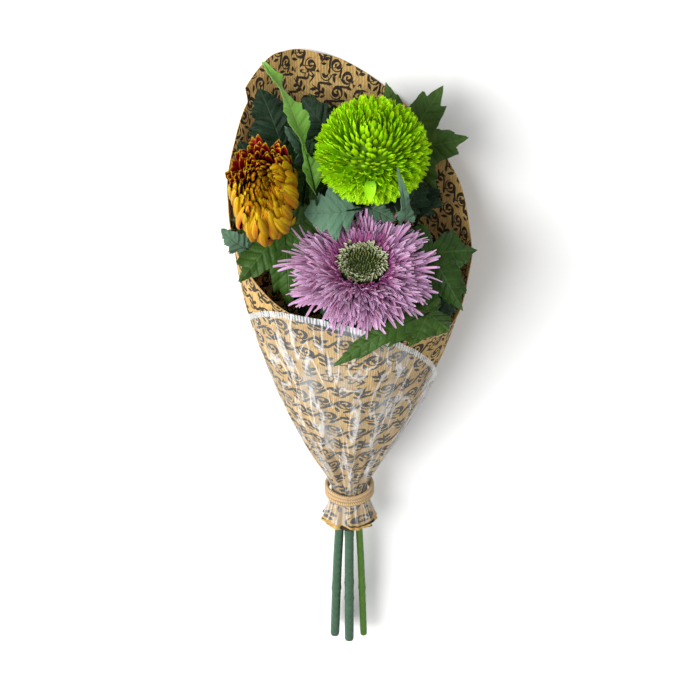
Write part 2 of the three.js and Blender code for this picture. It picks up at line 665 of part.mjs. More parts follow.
for (const { name, solid } of leafy) {
  add(name, geometryOf(solid), name.startsWith('maple') ? '#4f8a1e' : '#2f5a34', 0.6);
}
add('green_mum_bloom', geometryOf(blooms.green_mum_bloom), '#8cc00f', 0.6);
add('bronze_mum_bloom', geometryOf(blooms.bronze_mum_bloom), '#d79a0c', 0.6);
add('lilac_mum_rays', geometryOf(blooms.lilac_mum_rays), '#cf9ad0', 0.6);
add('lilac_mum_disc', geometryOf(blooms.lilac_mum_disc), '#6f8035', 0.7);

// The origin goes to the middle of the bouquet's underside.
const box = new THREE.Box3().setFromObject(bouquet, true);
bouquet.position.set(-(box.min.x + box.max.x) / 2, -(box.min.y + box.max.y) / 2, -box.min.z);

export default bouquet;
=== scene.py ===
"""A mixed bouquet lying on its back: a green, a bronze and a lilac chrysanthemum with toothed and
lobed leaves, in ribbed kraft paper printed with black scrolls, a clear film and a neck tie.

Shapes are worked out in millimetres in the bouquet's own frame: the tie is at y = 0, the table at
z = 0, the blooms lie towards +Y and are shown towards +Z. laid() turns them into the model's frame.
"""

import bpy
import numpy as np
from mathutils import Matrix, Vector


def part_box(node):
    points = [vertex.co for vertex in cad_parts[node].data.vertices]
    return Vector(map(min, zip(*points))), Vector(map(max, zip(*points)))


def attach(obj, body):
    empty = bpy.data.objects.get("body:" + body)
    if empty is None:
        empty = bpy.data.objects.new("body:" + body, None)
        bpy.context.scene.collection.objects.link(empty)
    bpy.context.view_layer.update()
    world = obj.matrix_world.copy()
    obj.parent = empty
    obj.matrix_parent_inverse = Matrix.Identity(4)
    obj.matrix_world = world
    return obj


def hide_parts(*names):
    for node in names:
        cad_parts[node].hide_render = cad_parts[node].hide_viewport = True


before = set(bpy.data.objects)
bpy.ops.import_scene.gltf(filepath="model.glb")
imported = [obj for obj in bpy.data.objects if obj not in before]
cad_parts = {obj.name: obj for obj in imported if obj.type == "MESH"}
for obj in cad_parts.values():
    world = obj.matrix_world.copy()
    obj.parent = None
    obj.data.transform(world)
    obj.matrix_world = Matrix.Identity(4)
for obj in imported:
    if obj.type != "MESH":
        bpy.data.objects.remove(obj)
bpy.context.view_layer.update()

# ------------------------------------------------------------------ sizes, mm

NECK_HEIGHT = 36.0
AXIS_TILT = np.radians(8.0)  # the bundle's axis rises towards the blooms
STEM_END_Y = -142.0
STEM_PITCH = 7.5
STEM_BEND = 26.0  # a stem points the way its bloom faces over this length
MUM_STEM, MUM_STALK, MUM_RIDGE = 3.3, 1.3, 0.03  # radii, and the height of the stem's ridges
TWIG, TWIG_STALK, TWIG_RIDGE = 2.5, 1.0, 0.0

PAPER_THICKNESS, MUM_BLADE, MAPLE_BLADE, FILM_THICKNESS = 0.5, 0.4, 0.35, 0.12
NECK_RADIUS = 12.6
SKIRT_Y, SKIRT_RADIUS = -28.0, 20.0
HEAD_Y, HEAD_RADIUS = 240.0, 80.0
PAPER_LAYER = 1.4  # the inner layer lies this much further in
PAPER_ANGLES = (150.0, 600.0)
PAPER_MIDDLE = 375.0
CONE_ANGLE, CONE_TIP_Y = np.radians(15.7), -45.0  # of the cone that the wrap nearly is
PRINT_CELL = 15.0
# The ribs' pitch in the paper and along the film's edge, at these distances from the cone's tip.
RIB_PITCH, RIBS_AT, FILM_RIB_PITCH, FILM_RIBS_AT = 2.0, 300.0, 1.6, 220.0
# The paper's upper edge: degrees round from the front, and the station there.
PAPER_RIM = np.array([
    (150, 266), (165, 280), (180, 293), (195, 302), (210, 305), (225, 304), (238, 298), (252, 276),
    (266, 242), (278, 227), (292, 211), (319, 190), (345, 180), (362, 175), (380, 171), (400, 165),
    (415, 161), (430, 167), (450, 189), (465, 208), (480, 238), (495, 258), (515, 281), (535, 302),
    (548, 312), (566, 319), (582, 321), (592, 314), (600, 301),
], float)
# Sharp creases in the wall: degrees round, height, half-width in degrees, slant in degrees per mm.
PAPER_CREASES = ((168, 1.6, 9, 0.04), (191, -1.8, 7, -0.05), (209, 2.2, 9, 0.02), (233, -1.8, 8, 0.07),
                 (262, 1.6, 9, 0.0), (97, 1.5, 10, -0.05), (128, -1.4, 9, 0.05))
FILM_BOTTOM, FILM_LONG, FILM_SHORT, FILM_LONGEST_AT = -24.0, 189.0, 60.0, -22.0
# Folds of the film: waves round, radians up per mm, phase, height.
FILM_FOLDS = ((8, 0.022, 0.3, 1.0), (13, -0.030, 1.7, 0.7), (11, 0.045, 2.9, 0.6),
              (19, 0.012, 0.8, 0.5), (6, -0.06, 4.0, 0.6))
TIE_BORE, TIE_CORD = 14.8, 1.5

# A bloom's middle and the way it faces; its radius and its core's; how squat it is; the degrees
# that its petals spread to; and its back, from the middle to its cup.
POMPON_AT = ((14.6, 282, 95), (0, 0.84, 0.54))
POMPON_RADIUS, POMPON_CORE, POMPON_SQUAT, POMPON_SPREAD, POMPON_BACK = 36.0, 25.0, 0.94, 134.0, 23.85
BRONZE_AT = ((-50.5, 255, 101), (-0.1, 0.56, 0.82))
BRONZE_RADIUS, BRONZE_CORE, BRONZE_SQUAT, BRONZE_SPREAD, BRONZE_BACK = 31.0, 18.0, 0.9, 112.0, 16.55
LILAC_AT = ((8.3, 211, 113), (0.03, 0.89, 0.45))
LILAC_RADIUS, LILAC_DISC, LILAC_BACK = 48.0, 14.5, 11.35
CUP_DEPTH, STEM_IN_CUP = 10.0, 8.0
GOLDEN_ANGLE = np.pi * (3 - np.sqrt(5))

tie_low, tie_high = (np.array(corner) * 1000 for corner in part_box("neck_tie"))
SHIFT = (tie_low + tie_high) / 2 - np.array([0, 0, NECK_HEIGHT])

# ------------------------------------------------------------------ small sums


def mix(a, b, t):
    return a + (b - a) * t


def smooth(t):
    t = np.clip(t, 0, 1)
    return t * t * (3 - 2 * t)


def unit(v):
    return v / np.linalg.norm(v, axis=-1, keepdims=True)


def ring_of(count):
    """Angles at an even pitch round a turn."""
    return 2 * np.pi * np.arange(count) / count


def laid(points):
    """Millimetres in the bouquet's own frame to metres in the model's."""
    return (points + SHIFT) / 1000


def stood(skins, place):
    """Turns a bloom's own frame, whose +Z looks out of its face, by the shortest turn to face its
    way, and moves it to its place."""
    at, facing = place
    f = unit(facing)
    cross = np.array([[0, 0, f[0]], [0, 0, f[1]], [-f[0], -f[1], 0]])
    turn = np.eye(3) + cross + cross @ cross / (1 + f[2])
    for s in skins:
        s.points = s.points @ turn.T + at
    return skins


def pressed(skins, sideways, below, above):
    """Scales skins sideways, and lengthwise by one share below the middle and by another above."""
    for s in skins:
        y = s.points[:, 1]
        s.points = s.points * np.stack([0 * y + sideways, np.where(y < 0, below, above), 0 * y + 1], -1)
    return skins


def catmull(knots, t):
    """A centripetal Catmull-Rom curve through the knots, at shares t of its knots: each span is a
    cubic whose end slopes come from the square roots of the distances to the knots around it."""
    p = np.array(knots, float)
    p = np.vstack([2 * p[0] - p[1], p, 2 * p[-1] - p[-2]])
    at = np.asarray(t) * (len(p) - 3)
    i = np.minimum(at.astype(int), len(p) - 4)
    w = (at - i)[..., None]
    a, b, c, d = p[i], p[i + 1], p[i + 2], p[i + 3]
    gap = lambda u, v: np.maximum(np.linalg.norm(v - u, axis=-1) ** 0.5, 1e-4)[..., None]
    d0, d1, d2 = gap(a, b), gap(b, c), gap(c, d)
    m1 = ((b - a) / d0 - (c - a) / (d0 + d1) + (c - b) / d1) * d1
    m2 = ((c - b) / d1 - (d - b) / (d1 + d2) + (d - c) / d2) * d1
    return (b + m1 * w + (-3 * b + 3 * c - 2 * m1 - m2) * w**2
            + (2 * b - 2 * c + m1 + m2) * w**3)


def along_curve(knots, shares):
    """Points at shares of the curve's length, from 200 chords along it."""
    t = np.linspace(0, 1, 201)
    chords = np.linalg.norm(np.diff(catmull(knots, t), axis=0), axis=1)
    length = np.concatenate([[0], np.cumsum(chords)])
    return catmull(knots, np.interp(np.asarray(shares) * length[-1], length, t))


# ------------------------------------------------------------------ meshes

class Skin:
    """Points with their faces and what the finish reads at each point: `place`, three numbers
    that run over the surface, and `chance`, one number for each petal, leaf or floret. Both are
    given for every point, or once for each equal run of points."""

    def __init__(self, points, quads, triangles=(), place=(0, 0, 0), chance=0.0):
        self.points = np.reshape(points, (-1, 3))
        self.quads = np.reshape(quads, (-1, 4))
        self.triangles = np.reshape(triangles, (-1, 3)).astype(int)
        place, chance = np.reshape(place, (-1, 3)), np.ravel(chance)
        self.place = np.repeat(place, len(self.points) // len(place), axis=0)
        self.chance = np.repeat(chance, len(self.points) // len(chance))


def new_object(name, points, faces, material):
    """An object at the origin, its points in metres."""
    mesh = bpy.data.meshes.new(name)
    mesh.from_pydata(points.tolist(), [], faces)
    mesh.materials.append(material)
    made = bpy.data.objects.new(name, mesh)
    bpy.context.scene.collection.objects.link(made)
    return made


def piece(name, skins, material, nodes):
    """Joins skins into one object that rides with the bouquet and stands for the named solids. Its
    edges look sharp where they turn by more than 50 degrees."""
    faces = []
    start = 0
    for s in skins:
        faces += (s.quads + start).tolist() + (s.triangles + start).tolist()
        start += len(s.points)
    made = new_object(name, laid(np.vstack([s.points for s in skins])), faces, material)
    place = made.data.attributes.new("place", "FLOAT_VECTOR", "POINT")
    place.data.foreach_set("vector", np.vstack([s.place for s in skins]).astype(np.float32).ravel())
    chance = made.data.attributes.new("chance", "FLOAT", "POINT")
    chance.data.foreach_set("value", np.concatenate([s.chance for s in skins]).astype(np.float32))
    made.data.polygons.foreach_set("use_smooth", np.ones(len(faces), bool))
    made.data.set_sharp_from_angle(angle=np.radians(50))
    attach(made, "root")
    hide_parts(*nodes)


def faces_of(at):
    """Four-cornered faces between the rows and columns of a grid of point numbers."""
    return np.stack([at[:-1, :-1], at[1:, :-1], at[1:, 1:], at[:-1, 1:]], -1).reshape(-1, 4)


def ringed(at):
    """The grid with its first column once more at its end, so that it closes round."""
    return np.pad(at, ((0, 0), (0, 1)), "wrap")


def two_sides(at, one, edges, turned_edges):
    """Faces of a sheet: its upper side, numbered by the grid, its lower side, whose points come
    `one` later, and the rims along its edges, which are turned over where they run the other way."""
    top = faces_of(at)
    rims = [faces_of(np.stack([edge, edge + one], -1)) for edge in edges]
    rims += [faces_of(np.stack([edge, edge + one])) for edge in turned_edges]
    return np.vstack([top, top[:, ::-1] + one, *rims])


def closed_sheets(points, thickness, place, chance=0.0):
    """Closed shells round N sheets of R by C points. Each sheet's upper face is where the way along
    (R) crossed with the way across (C) points; the other face lies `thickness` behind it, and a rim
    joins them. The third number of `place` is 1 on the upper face and -1 on the lower."""
    n, rows, columns, _ = points.shape
    normal = np.cross(np.gradient(points, axis=1), np.gradient(points, axis=2))
    normal /= np.maximum(np.linalg.norm(normal, axis=-1, keepdims=True), 1e-9)
    where = np.stack([place, place], axis=1)
    where[:, 0, ..., 2], where[:, 1, ..., 2] = 1, -1
    one = rows * columns
    at = np.arange(one).reshape(rows, columns)
    shell = two_sides(at, one, (at[:, -1], at[0]), (at[:, 0], at[-1]))
    first = (np.arange(n) * 2 * one)[:, None, None]
    return Skin(np.stack([points, points - normal * thickness], axis=1), shell + first, place=where,
                chance=chance)


def closed_star(points, middle, thickness, up, place, chance):
    """A closed shell round a leaf given as R rings of C points about its middle: the other face
    lies `thickness` behind along `up`, fans close the middles and a rim joins the outer rings."""
    rings, sides, _ = points.shape
    one = rings * sides + 1
    face = np.vstack([points.reshape(-1, 3), middle])
    where = np.tile(np.vstack([place.reshape(-1, 3), np.zeros(3)]), (2, 1))
    where[:one, 2], where[one:, 2] = 1, -1
    at = ringed(np.arange(one - 1).reshape(rings, sides))
    fan = np.stack([np.full(sides, one - 1), at[0, :-1], at[0, 1:]], -1)
    return Skin(np.vstack([face, face - up * thickness]), two_sides(at, one, (), (at[-1],)),
                np.vstack([fan, fan[:, ::-1] + one]), where, chance)


def capped(rings, low, high, place, chance=0.0):
    """Closed skins round N stacks of rings, which run anticlockwise seen from their last one. A fan
    closes each end, to its low or high point; these two are numbered last."""
    n, steps, sides, _ = rings.shape
    one = steps * sides + 2
    at = ringed(np.arange(one - 2).reshape(steps, sides))
    fan = lambda middle, ring: np.stack([np.full(sides, middle), ring[:-1], ring[1:]], -1)
    fans = np.vstack([fan(one - 2, at[0, ::-1]), fan(one - 1, at[-1])])
    first = (np.arange(n) * one)[:, None, None]
    points = np.concatenate([rings.reshape(n, -1, 3), low[:, None], high[:, None]], 1)
    return Skin(points, faces_of(at.T) + first, fans + first, place, chance)


def tube(path, radii, sides, ridge=0.0, ridges=5):
    """A tube along a path of points: a ring at each, square to the path, whose radius is the given
    one with `ridges` low ridges round it. place is the share round, the share along and 1."""
    steps = len(path)
    ahead = unit(np.gradient(path, axis=0))
    chord = np.abs(path[-1] - path[0])
    aside = unit(np.cross(ahead, np.eye(3)[np.argmin(chord)]))
    turn = ring_of(sides)
    c, s = np.cos(turn)[:, None], np.sin(turn)[:, None]
    reach = radii[:, None] * (1 + ridge * np.cos(ridges * turn))
    rings = path[:, None] + reach[..., None] * (c * aside[:, None] + s * np.cross(ahead, aside)[:, None])
    where = np.zeros((steps * sides + 2, 3))
    where[:-2, 0] = np.tile(np.arange(sides) / sides, steps)
    where[:-2, 1] = np.repeat(np.linspace(0, 1, steps), sides)
    where[:-2, 2] = where[-1, 1] = 1
    return capped(rings[None], path[:1], path[-1:], where)


def turned(profile, sides, place=(0, 0, 0)):
    """A closed solid of revolution about Z: the profile is (radius, height) from the lower pole to
    the upper one, both on the axis."""
    radius, height = np.array(profile, float).T[..., None]
    turn = ring_of(sides)
    rings = np.stack([radius * np.cos(turn), radius * np.sin(turn), height + 0 * turn], -1)
    return capped(rings[None, 1:-1], rings[None, 0, 0], rings[None, -1, 0], place)


# ------------------------------------------------------------------ finishes

class Value:
    """What runs between shader nodes. Formulas are written with it: each sign adds one node of
    arithmetic, < and > give 1 where they hold, and | is the larger of two."""

    def __init__(self, nodes, socket):
        self.nodes, self.socket = nodes, socket

    def step(self, operation, *others):
        return self.nodes.new("Math", 0, dict(enumerate((self, *others))), operation=operation)

    __add__ = lambda self, other: self.step("ADD", other)
    __sub__ = lambda self, other: self.step("SUBTRACT", other)
    __rsub__ = lambda self, other: self.nodes.new("Math", 0, {0: other, 1: self}, operation="SUBTRACT")
    __mul__ = lambda self, other: self.step("MULTIPLY", other)
    __truediv__ = lambda self, other: self.step("DIVIDE", other)
    __lt__ = lambda self, other: self.step("LESS_THAN", other)
    __gt__ = lambda self, other: self.step("GREATER_THAN", other)
    __or__ = lambda self, other: self.step("MAXIMUM", other)
    __abs__ = lambda self: self.step("ABSOLUTE")

    def ramp(self, low, high):
        """0 below low, 1 above high, smooth between."""
        return self.nodes.new("MapRange", 0, {0: self, 1: low, 2: high}, interpolation_type="SMOOTHSTEP")

    def scaled(self, *factors):
        """A vector, each of its numbers times its own factor."""
        return self.nodes.new("VectorMath", 0, {0: self, 1: factors}, operation="MULTIPLY")

    def split(self):
        """A vector's three numbers."""
        node = self.nodes.new("SeparateXYZ", 0, {0: self}).socket.node
        return [Value(self.nodes, socket) for socket in node.outputs]


class Nodes:
    """Adds and joins shader nodes in a tree, a material's or a group's."""

    def __init__(self, tree):
        self.tree = tree

    def join(self, value, socket):
        """A value is linked, and a plain number or colour is set on the socket."""
        if isinstance(value, Value):
            self.tree.links.new(value.socket, socket)
        elif socket.type == "RGBA":
            socket.default_value = (*value, 1)
        else:
            socket.default_value = value

    def new(self, kind, output, sockets=None, **settings):
        """A new node's one output."""
        node = self.tree.nodes.new("ShaderNode" + kind)
        for key, value in settings.items():
            setattr(node, key, value)
        for key, value in (sockets or {}).items():
            self.join(value, node.inputs[key])
        return Value(self, node.outputs[output])

    def use(self, group, *values):
        """Places a node group with its own values, in the order of its sockets."""
        node = self.new("Group", 0, dict(enumerate(values)), node_tree=group).socket.node
        return [Value(self, socket) for socket in node.outputs]

    def combine(self, x, y, z):
        return self.new("CombineXYZ", 0, {0: x, 1: y, 2: z})

    def blend(self, factor, a, b, kind="MIX"):
        """Colour a turning into colour b."""
        return self.new("Mix", 2, {0: factor, 6: a, 7: b}, data_type="RGBA", blend_type=kind,
                        clamp_factor=True)

    def noise(self, vector, scale, detail=3.0, roughness=0.5, distortion=0.0):
        return self.new("TexNoise", "Fac", {"Vector": vector, "Scale": scale, "Detail": detail,
                                            "Roughness": roughness, "Distortion": distortion})

    def place(self):
        return self.new("Attribute", "Vector", attribute_name="place")

    def chance(self):
        return self.new("Attribute", "Fac", attribute_name="chance")

    def mm(self):
        """The piece's own coordinates in millimetres."""
        return self.new("TexCoord", "Object").scaled(1000, 1000, 1000)

    def bump(self, height, distance, strength, under=None):
        """A relief `distance` mm high, on top of the one under it."""
        sockets = {"Height": height, "Distance": distance / 1000, "Strength": strength}
        if under:
            sockets["Normal"] = under
        return self.new("Bump", "Normal", sockets)

    def give(self, *values):
        """Joins what a group gives, in the order of its sockets: the group."""
        leave = self.tree.nodes.new("NodeGroupOutput")
        for value, socket in zip(values, leave.inputs):
            self.join(value, socket)
        return self.tree


class Finish(Nodes):
    """A new material's nodes."""

    def __init__(self, name, **constants):
        self.material = bpy.data.materials.new(name)
        self.material.use_nodes = True
        super().__init__(self.material.node_tree)
        self.shade(**constants)

    def shade(self, **sockets):
        """Joins what goes into the shader, by its sockets' names: the material."""
        shader = self.tree.nodes["Principled BSDF"]
        for name, value in sockets.items():
            self.join(value, shader.inputs[name.replace("_", " ").title().replace("Ior", "IOR")])
        return self.material


def effect(name, takes, gives):
    """A new node group's nodes, and what comes in. `place` is a vector, every other socket a number."""
    group = bpy.data.node_groups.new(name, "ShaderNodeTree")
    for direction, labels in (("INPUT", takes), ("OUTPUT", gives)):
        for label in labels:
            kind = "NodeSocketVector" if label == "place" else "NodeSocketFloat"
            group.interface.new_socket(label, in_out=direction, socket_type=kind)
    nodes = Nodes(group)
    entry = group.nodes.new("NodeGroupInput")
    return nodes, [Value(nodes, entry.outputs[label]) for label in takes]


def petal_lines_effect():
    """Fine lengthwise lines on a petal: noise that is long along the petal and short across it,
    different on each petal, as a mask; and the same as a low relief."""
    n, (place, chance, fineness) = effect("petal_lines", ("place", "chance", "fineness"), ("mask", "relief"))
    along, across, _ = place.split()
    own = chance * 37.0
    streak = n.noise(n.combine(across * fineness + own, along * 0.9, own), 1.6, 2.0)
    return n.give(streak.ramp(0.38, 0.66), streak)


def leaf_veins_effect():
    """Veins of a leaf whose place is (distance from the nearest main vein, distance along it), mm:
    a main vein that fades with its length, side veins that leave it forwards at an even pitch, and
    a fine net between them."""
    n, (place, pitch, slant) = effect("leaf_veins", ("place", "pitch", "slant"), ("veins", "relief", "net"))
    away, along, _ = place.split()
    wobble = (n.noise(place, 0.16, 2.0) - 0.5) * 2.2
    main = 1 - away.ramp(0.12, 0.75)
    cell = ((along + wobble - away * slant) / pitch).step("FRACT")
    off = abs(cell - 0.5) * pitch
    side = 1 - off.ramp(0.05, 0.42)
    net = n.new("TexVoronoi", 0, {"Vector": place, "Scale": 0.55}, feature="DISTANCE_TO_EDGE")
    return n.give(main | side * 0.62, off.ramp(0.0, 2.2) * 0.8 - main * 0.6, 1 - net.ramp(0.0, 0.12))


PETAL_LINES = petal_lines_effect()
LEAF_VEINS = leaf_veins_effect()


def petal_finish(name, base, tip, foot_shade, young, inner=None, streak=None, streak_and_margin_shade_share=0.0, base_end=0.35,
                 tip_start=0.7, fineness=2.4):
    """Petal: a painted shade colour at its foot turning to `base` and then to `tip` at its end, turned
    towards
    `young` near the bloom's middle, with fine lengthwise lines. `inner` is the upper face's own
    colour, and `streak` the colour of broad lengthwise flashes and also of painted shade along the margins."""
    n = Finish(name, subsurface_weight=0.12, subsurface_scale=0.002, specular_ior_level=0.13)
    place, chance = n.place(), n.chance()
    along, across, side = place.split()
    lines, relief = n.use(PETAL_LINES, place, chance, fineness)
    luck = (chance * 61.7).step("FRACT")
    colour = n.blend(along.ramp(tip_start, 1.0), base, tip)
    colour = n.blend(1 - chance.ramp(0.05, 0.55), colour, young)
    if streak:
        own = (luck + 0.35) * streak_and_margin_shade_share
        colour = n.blend(lines * own, colour, streak)
        # Painted shade: the margins are darkened with the streak colour.
        colour = n.blend(abs(across).ramp(0.5, 1.0) * own, colour, streak)
    if inner:
        colour = n.blend(side.ramp(-0.3, 0.5) * along.ramp(0.97, 0.86), colour, inner)
    # Painted shade: each petal is darkened towards its foot, where the petals crowd together.
    colour = n.blend(along.ramp(0.0, base_end), foot_shade, colour)
    colour = n.new("HueSaturation", 0, {"Hue": luck * 0.014 + 0.493, "Value": luck * 0.3 + 0.84,
                                        "Color": colour})
    colour = n.blend(lines * 0.16, colour, (0, 0, 0), "SOFT_LIGHT")
    return n.shade(base_color=colour, roughness=relief * 0.16 + 0.46, normal=n.bump(relief, 0.35, 0.6))


def leaf_finish(name, dark, pale, back, vein, pitch, slant, gloss):
    """Leaf: each between dark and pale by its tone, which is partly its own and partly painted shade,
    lowest for the leaves far inside the wrap; mottled, paler on its veins and along its cut margin; its
    back is duller. The side veins' pitch is in mm, and their slant leans them forwards."""
    n = Finish(name, subsurface_weight=0.04, subsurface_scale=0.002, specular_ior_level=gloss)
    place, tone_and_shade = n.place(), n.chance()
    side = place.split()[2]
    veins, relief, net = n.use(LEAF_VEINS, place, pitch, slant)
    patches = n.noise(n.mm(), 0.09, 4.0, 0.6).ramp(0.35, 0.68)
    light = n.blend(tone_and_shade * 0.7 + 0.14, dark, vein)
    # Painted shade: a low tone number darkens the leaves far inside the wrap.
    colour = n.blend(tone_and_shade * 0.95 + patches * 0.07, dark, pale)
    colour = n.blend(net * 0.14, colour, light)
    colour = n.blend(side.ramp(0.3, -0.3), colour, n.blend(tone_and_shade * 0.6 + 0.3, dark, back))
    colour = n.blend(veins * 0.6, colour, light)
    colour = n.blend((1 - abs(side).ramp(0.6, 1.0)) * 0.6, colour, vein)
    return n.shade(base_color=colour, roughness=patches * 0.16 + 0.30,
                   normal=n.bump(relief + net * -0.14, 0.8, 0.7))


# ------------------------------------------------------------------ paper and film


def axis_height(y):
    return NECK_HEIGHT + np.tan(AXIS_TILT) * y


def flare(y):
    """Distance from the bundle's axis to the paper's outer face: from the neck it opens to the
    head's radius, quickly at first, and below the tie it opens again into a skirt."""
    below = mix(NECK_RADIUS, SKIRT_RADIUS, np.clip(y / SKIRT_Y, 0, None) ** 1.6)
    t = np.clip(y / HEAD_Y, 0, 1)
    above = NECK_RADIUS + (HEAD_RADIUS - NECK_RADIUS) * (1.06 * t / (t + 0.06) * t * (2 - t))
    return np.where(y < 0, below, above)


def wrap_surface(y, degrees):
    """The wrap's outer face: a ring of the flare's radius about the sloping axis, whose back is
    flattened by the table and whose middle drifts 3 mm aside."""
    s, c = np.sin(np.radians(degrees)), np.cos(np.radians(degrees))
    wide, height = flare(y), axis_height(y)
    back = np.minimum(wide, height + 2.2)
    z = height + np.where(c < 0, back, wide) * c
    return np.stack([3 * smooth(y / 200) + wide * s, y + 0 * s, np.maximum(z, 0)], -1)


def wrap_point(y, degrees, offset):
    """The wrap's surface moved out along its normal, which is the way round crossed with the way
    along. Where it lies on the table it isn't moved out."""
    here = wrap_surface(y, degrees)
    offset = np.minimum(offset, offset * smooth((here[..., 2] - 0.5) / 5))
    around = wrap_surface(y, degrees + 1) - wrap_surface(y, degrees - 1)
    along = wrap_surface(y + 1, degrees) - wrap_surface(y - 1, degrees)
    return here + unit(np.cross(around, along)) * offset[..., None]


def rim_station(angle):
    """The paper's upper edge: a curve through its knots, smoothed by a short running mean, and 3 mm
    lower at the front."""
    at = np.clip(angle[..., None] + np.linspace(-6, 6, 13), *PAPER_ANGLES)
    return np.interp(at, *PAPER_RIM.T).mean(-1) - 3 * smooth(1 - np.abs(angle - 395) / 70)


def pleats(y, degrees):
    """How far the wall stands out: folds that run up from the tie and die out, a slow slack above
    them, and near the rim sharp creases. Both layers of the sheet share them."""
    a = np.radians(degrees)
    folds = 0.5 * np.sin(9 * a + 0.6) + 0.35 * np.sin(14 * a + 2.1) + 0.25 * np.sin(23 * a)
    near = mix(0.5, 1.9, smooth((np.abs(y) - 5) / 24)) * (1 - smooth((y - 25) / 120))
    slack = 0.8 * np.sin(5 * a + y / 31) * np.sin(y / 47 + 1.2) * smooth((y - 60) / 90)
    creases = sum(height * np.maximum(0, 1 - np.abs(degrees % 360 - at + (y - 240) * lean) / wide)
                  for at, height, wide, lean in PAPER_CREASES)
    return folds * near + slack + creases * smooth((y - 130) / 70)


def flat_sheet(y, degrees, edge):
    """Where a point of the wrap lies on the flat sheet, mm, and a third number: the wrap is nearly
    a cone, which rolls out to a fan about its tip."""
    slant = (y - CONE_TIP_Y) / np.cos(CONE_ANGLE)
    fan = np.radians(degrees) * np.sin(CONE_ANGLE)
    return np.stack([slant * np.sin(fan), slant * np.cos(fan), edge + 0 * slant], -1)


def kraft_paper_sheet():
    """One sheet wound 450 degrees round: columns by angle, rows from the skirt up to the rim, which
    rolls out in a lip. Its first layer lies inside the last one."""
    # along crossed with across points out when the angle runs backwards
    degrees = np.linspace(*PAPER_ANGLES, 301)[None, ::-1]
    share = np.linspace(0, 1, 101)[:, None]
    y = mix(SKIRT_Y, rim_station(degrees), share)
    inner = 1 - smooth((degrees - 232) / 40)
    lip = 1.3 * smooth((share - 0.965) / 0.035) ** 2
    points = wrap_point(y, degrees, pleats(y, degrees) - 0.15 - inner * PAPER_LAYER + lip)
    return closed_sheets(points[None], PAPER_THICKNESS, flat_sheet(y, degrees - PAPER_MIDDLE, 0)[None])


def scroll_print_effect():
    """Black ornament on a flat sheet, in narrow cells side by side in rows: thick-and-thin curls
    over two leaves, sprigs and rings of petals, each leaning and chosen by its cell's own random
    numbers. A waving line, thick where it falls, runs through most rows and ties them together."""
    n, (place, size) = effect("scroll_print", ("place", "size"), ("ink",))
    narrow = 0.82  # a cell's width, as a share of its height
    u, v, _ = place.split()
    row = (v / size).step("FLOOR")
    shifted = u / (size * narrow) + row * 0.37
    column = shifted.step("FLOOR")
    dice = n.new("TexWhiteNoise", "Color", {"Vector": n.combine(column, row, 3.0)}, noise_dimensions="3D")
    pick, tilt, grow = dice.split()
    x = (shifted - column - 0.5) * narrow
    y = (v / size).step("FRACT") - 0.5
    turn = (tilt - 0.5) * 0.9
    c, s = turn.step("COSINE"), turn.step("SINE")
    a = (x * c + y * s) * (grow - 0.5).step("SIGN")
    b = y * c - x * s

    def spiral(cx, cy, reach, pitch, start):
        """A spiral line about (cx, cy), thick at its sides and thin at its top and bottom."""
        p, q = a - cx, b - cy
        r = (p * p + q * q).step("SQRT")
        angle = q.step("ARCTAN2", p) / (2 * np.pi)
        off = abs((r / pitch - (angle + start)).step("FRACT") - 0.5) * pitch
        half = abs(p / (r + 0.01)) * 0.064 + 0.036
        return (off < half) * (r < reach)

    def leaf(cx, cy, slope, length, breadth):
        """A pointed leaf: a bar whose half breadth falls off to both ends as a parabola."""
        p, q = a - cx, b - cy
        co, si = float(np.cos(slope)), float(np.sin(slope))
        end = abs((p * co + q * si) / length).step("POWER", 2.0)
        return abs(q * co - p * si) < (1 - end) * breadth

    scroll = (spiral(0.0, 0.14, 0.34, 0.24, 0.1) | leaf(0.18, -0.32, 0.9, 0.2, 0.075)
              | leaf(-0.17, -0.34, 2.2, 0.2, 0.075))
    sprig = (leaf(0.0, 0.0, 1.45, 0.5, 0.045) | leaf(0.16, 0.22, 0.7, 0.19, 0.09)
             | leaf(-0.12, 0.1, 2.3, 0.19, 0.09) | leaf(0.15, -0.08, 0.7, 0.19, 0.09)
             | leaf(-0.14, -0.2, 2.3, 0.18, 0.085) | leaf(0.1, -0.36, 0.5, 0.15, 0.065))
    from_middle = (a * a + b * b).step("SQRT")
    lobes = (b.step("ARCTAN2", a) * 5.0).step("COSINE") * 0.11 + 0.26
    flower = ((abs(from_middle - lobes) < 0.062) | (from_middle < 0.07)
              | leaf(0.0, -0.42, 0.3, 0.3, 0.04))
    wave = shifted * (2 * np.pi)
    width = (wave.step("COSINE") | 0.0) * 0.075 + 0.036
    row_dice = n.new("TexWhiteNoise", "Value", {"W": row}, noise_dimensions="1D")
    vine = (abs(y - wave.step("SINE") * 0.2) < width) * (row_dice > 0.35)
    is_scroll, is_flower = pick < 0.56, pick > 0.84
    is_sprig = 1 - (is_scroll + is_flower)
    return n.give(vine | scroll * is_scroll | sprig * is_sprig | flower * is_flower)


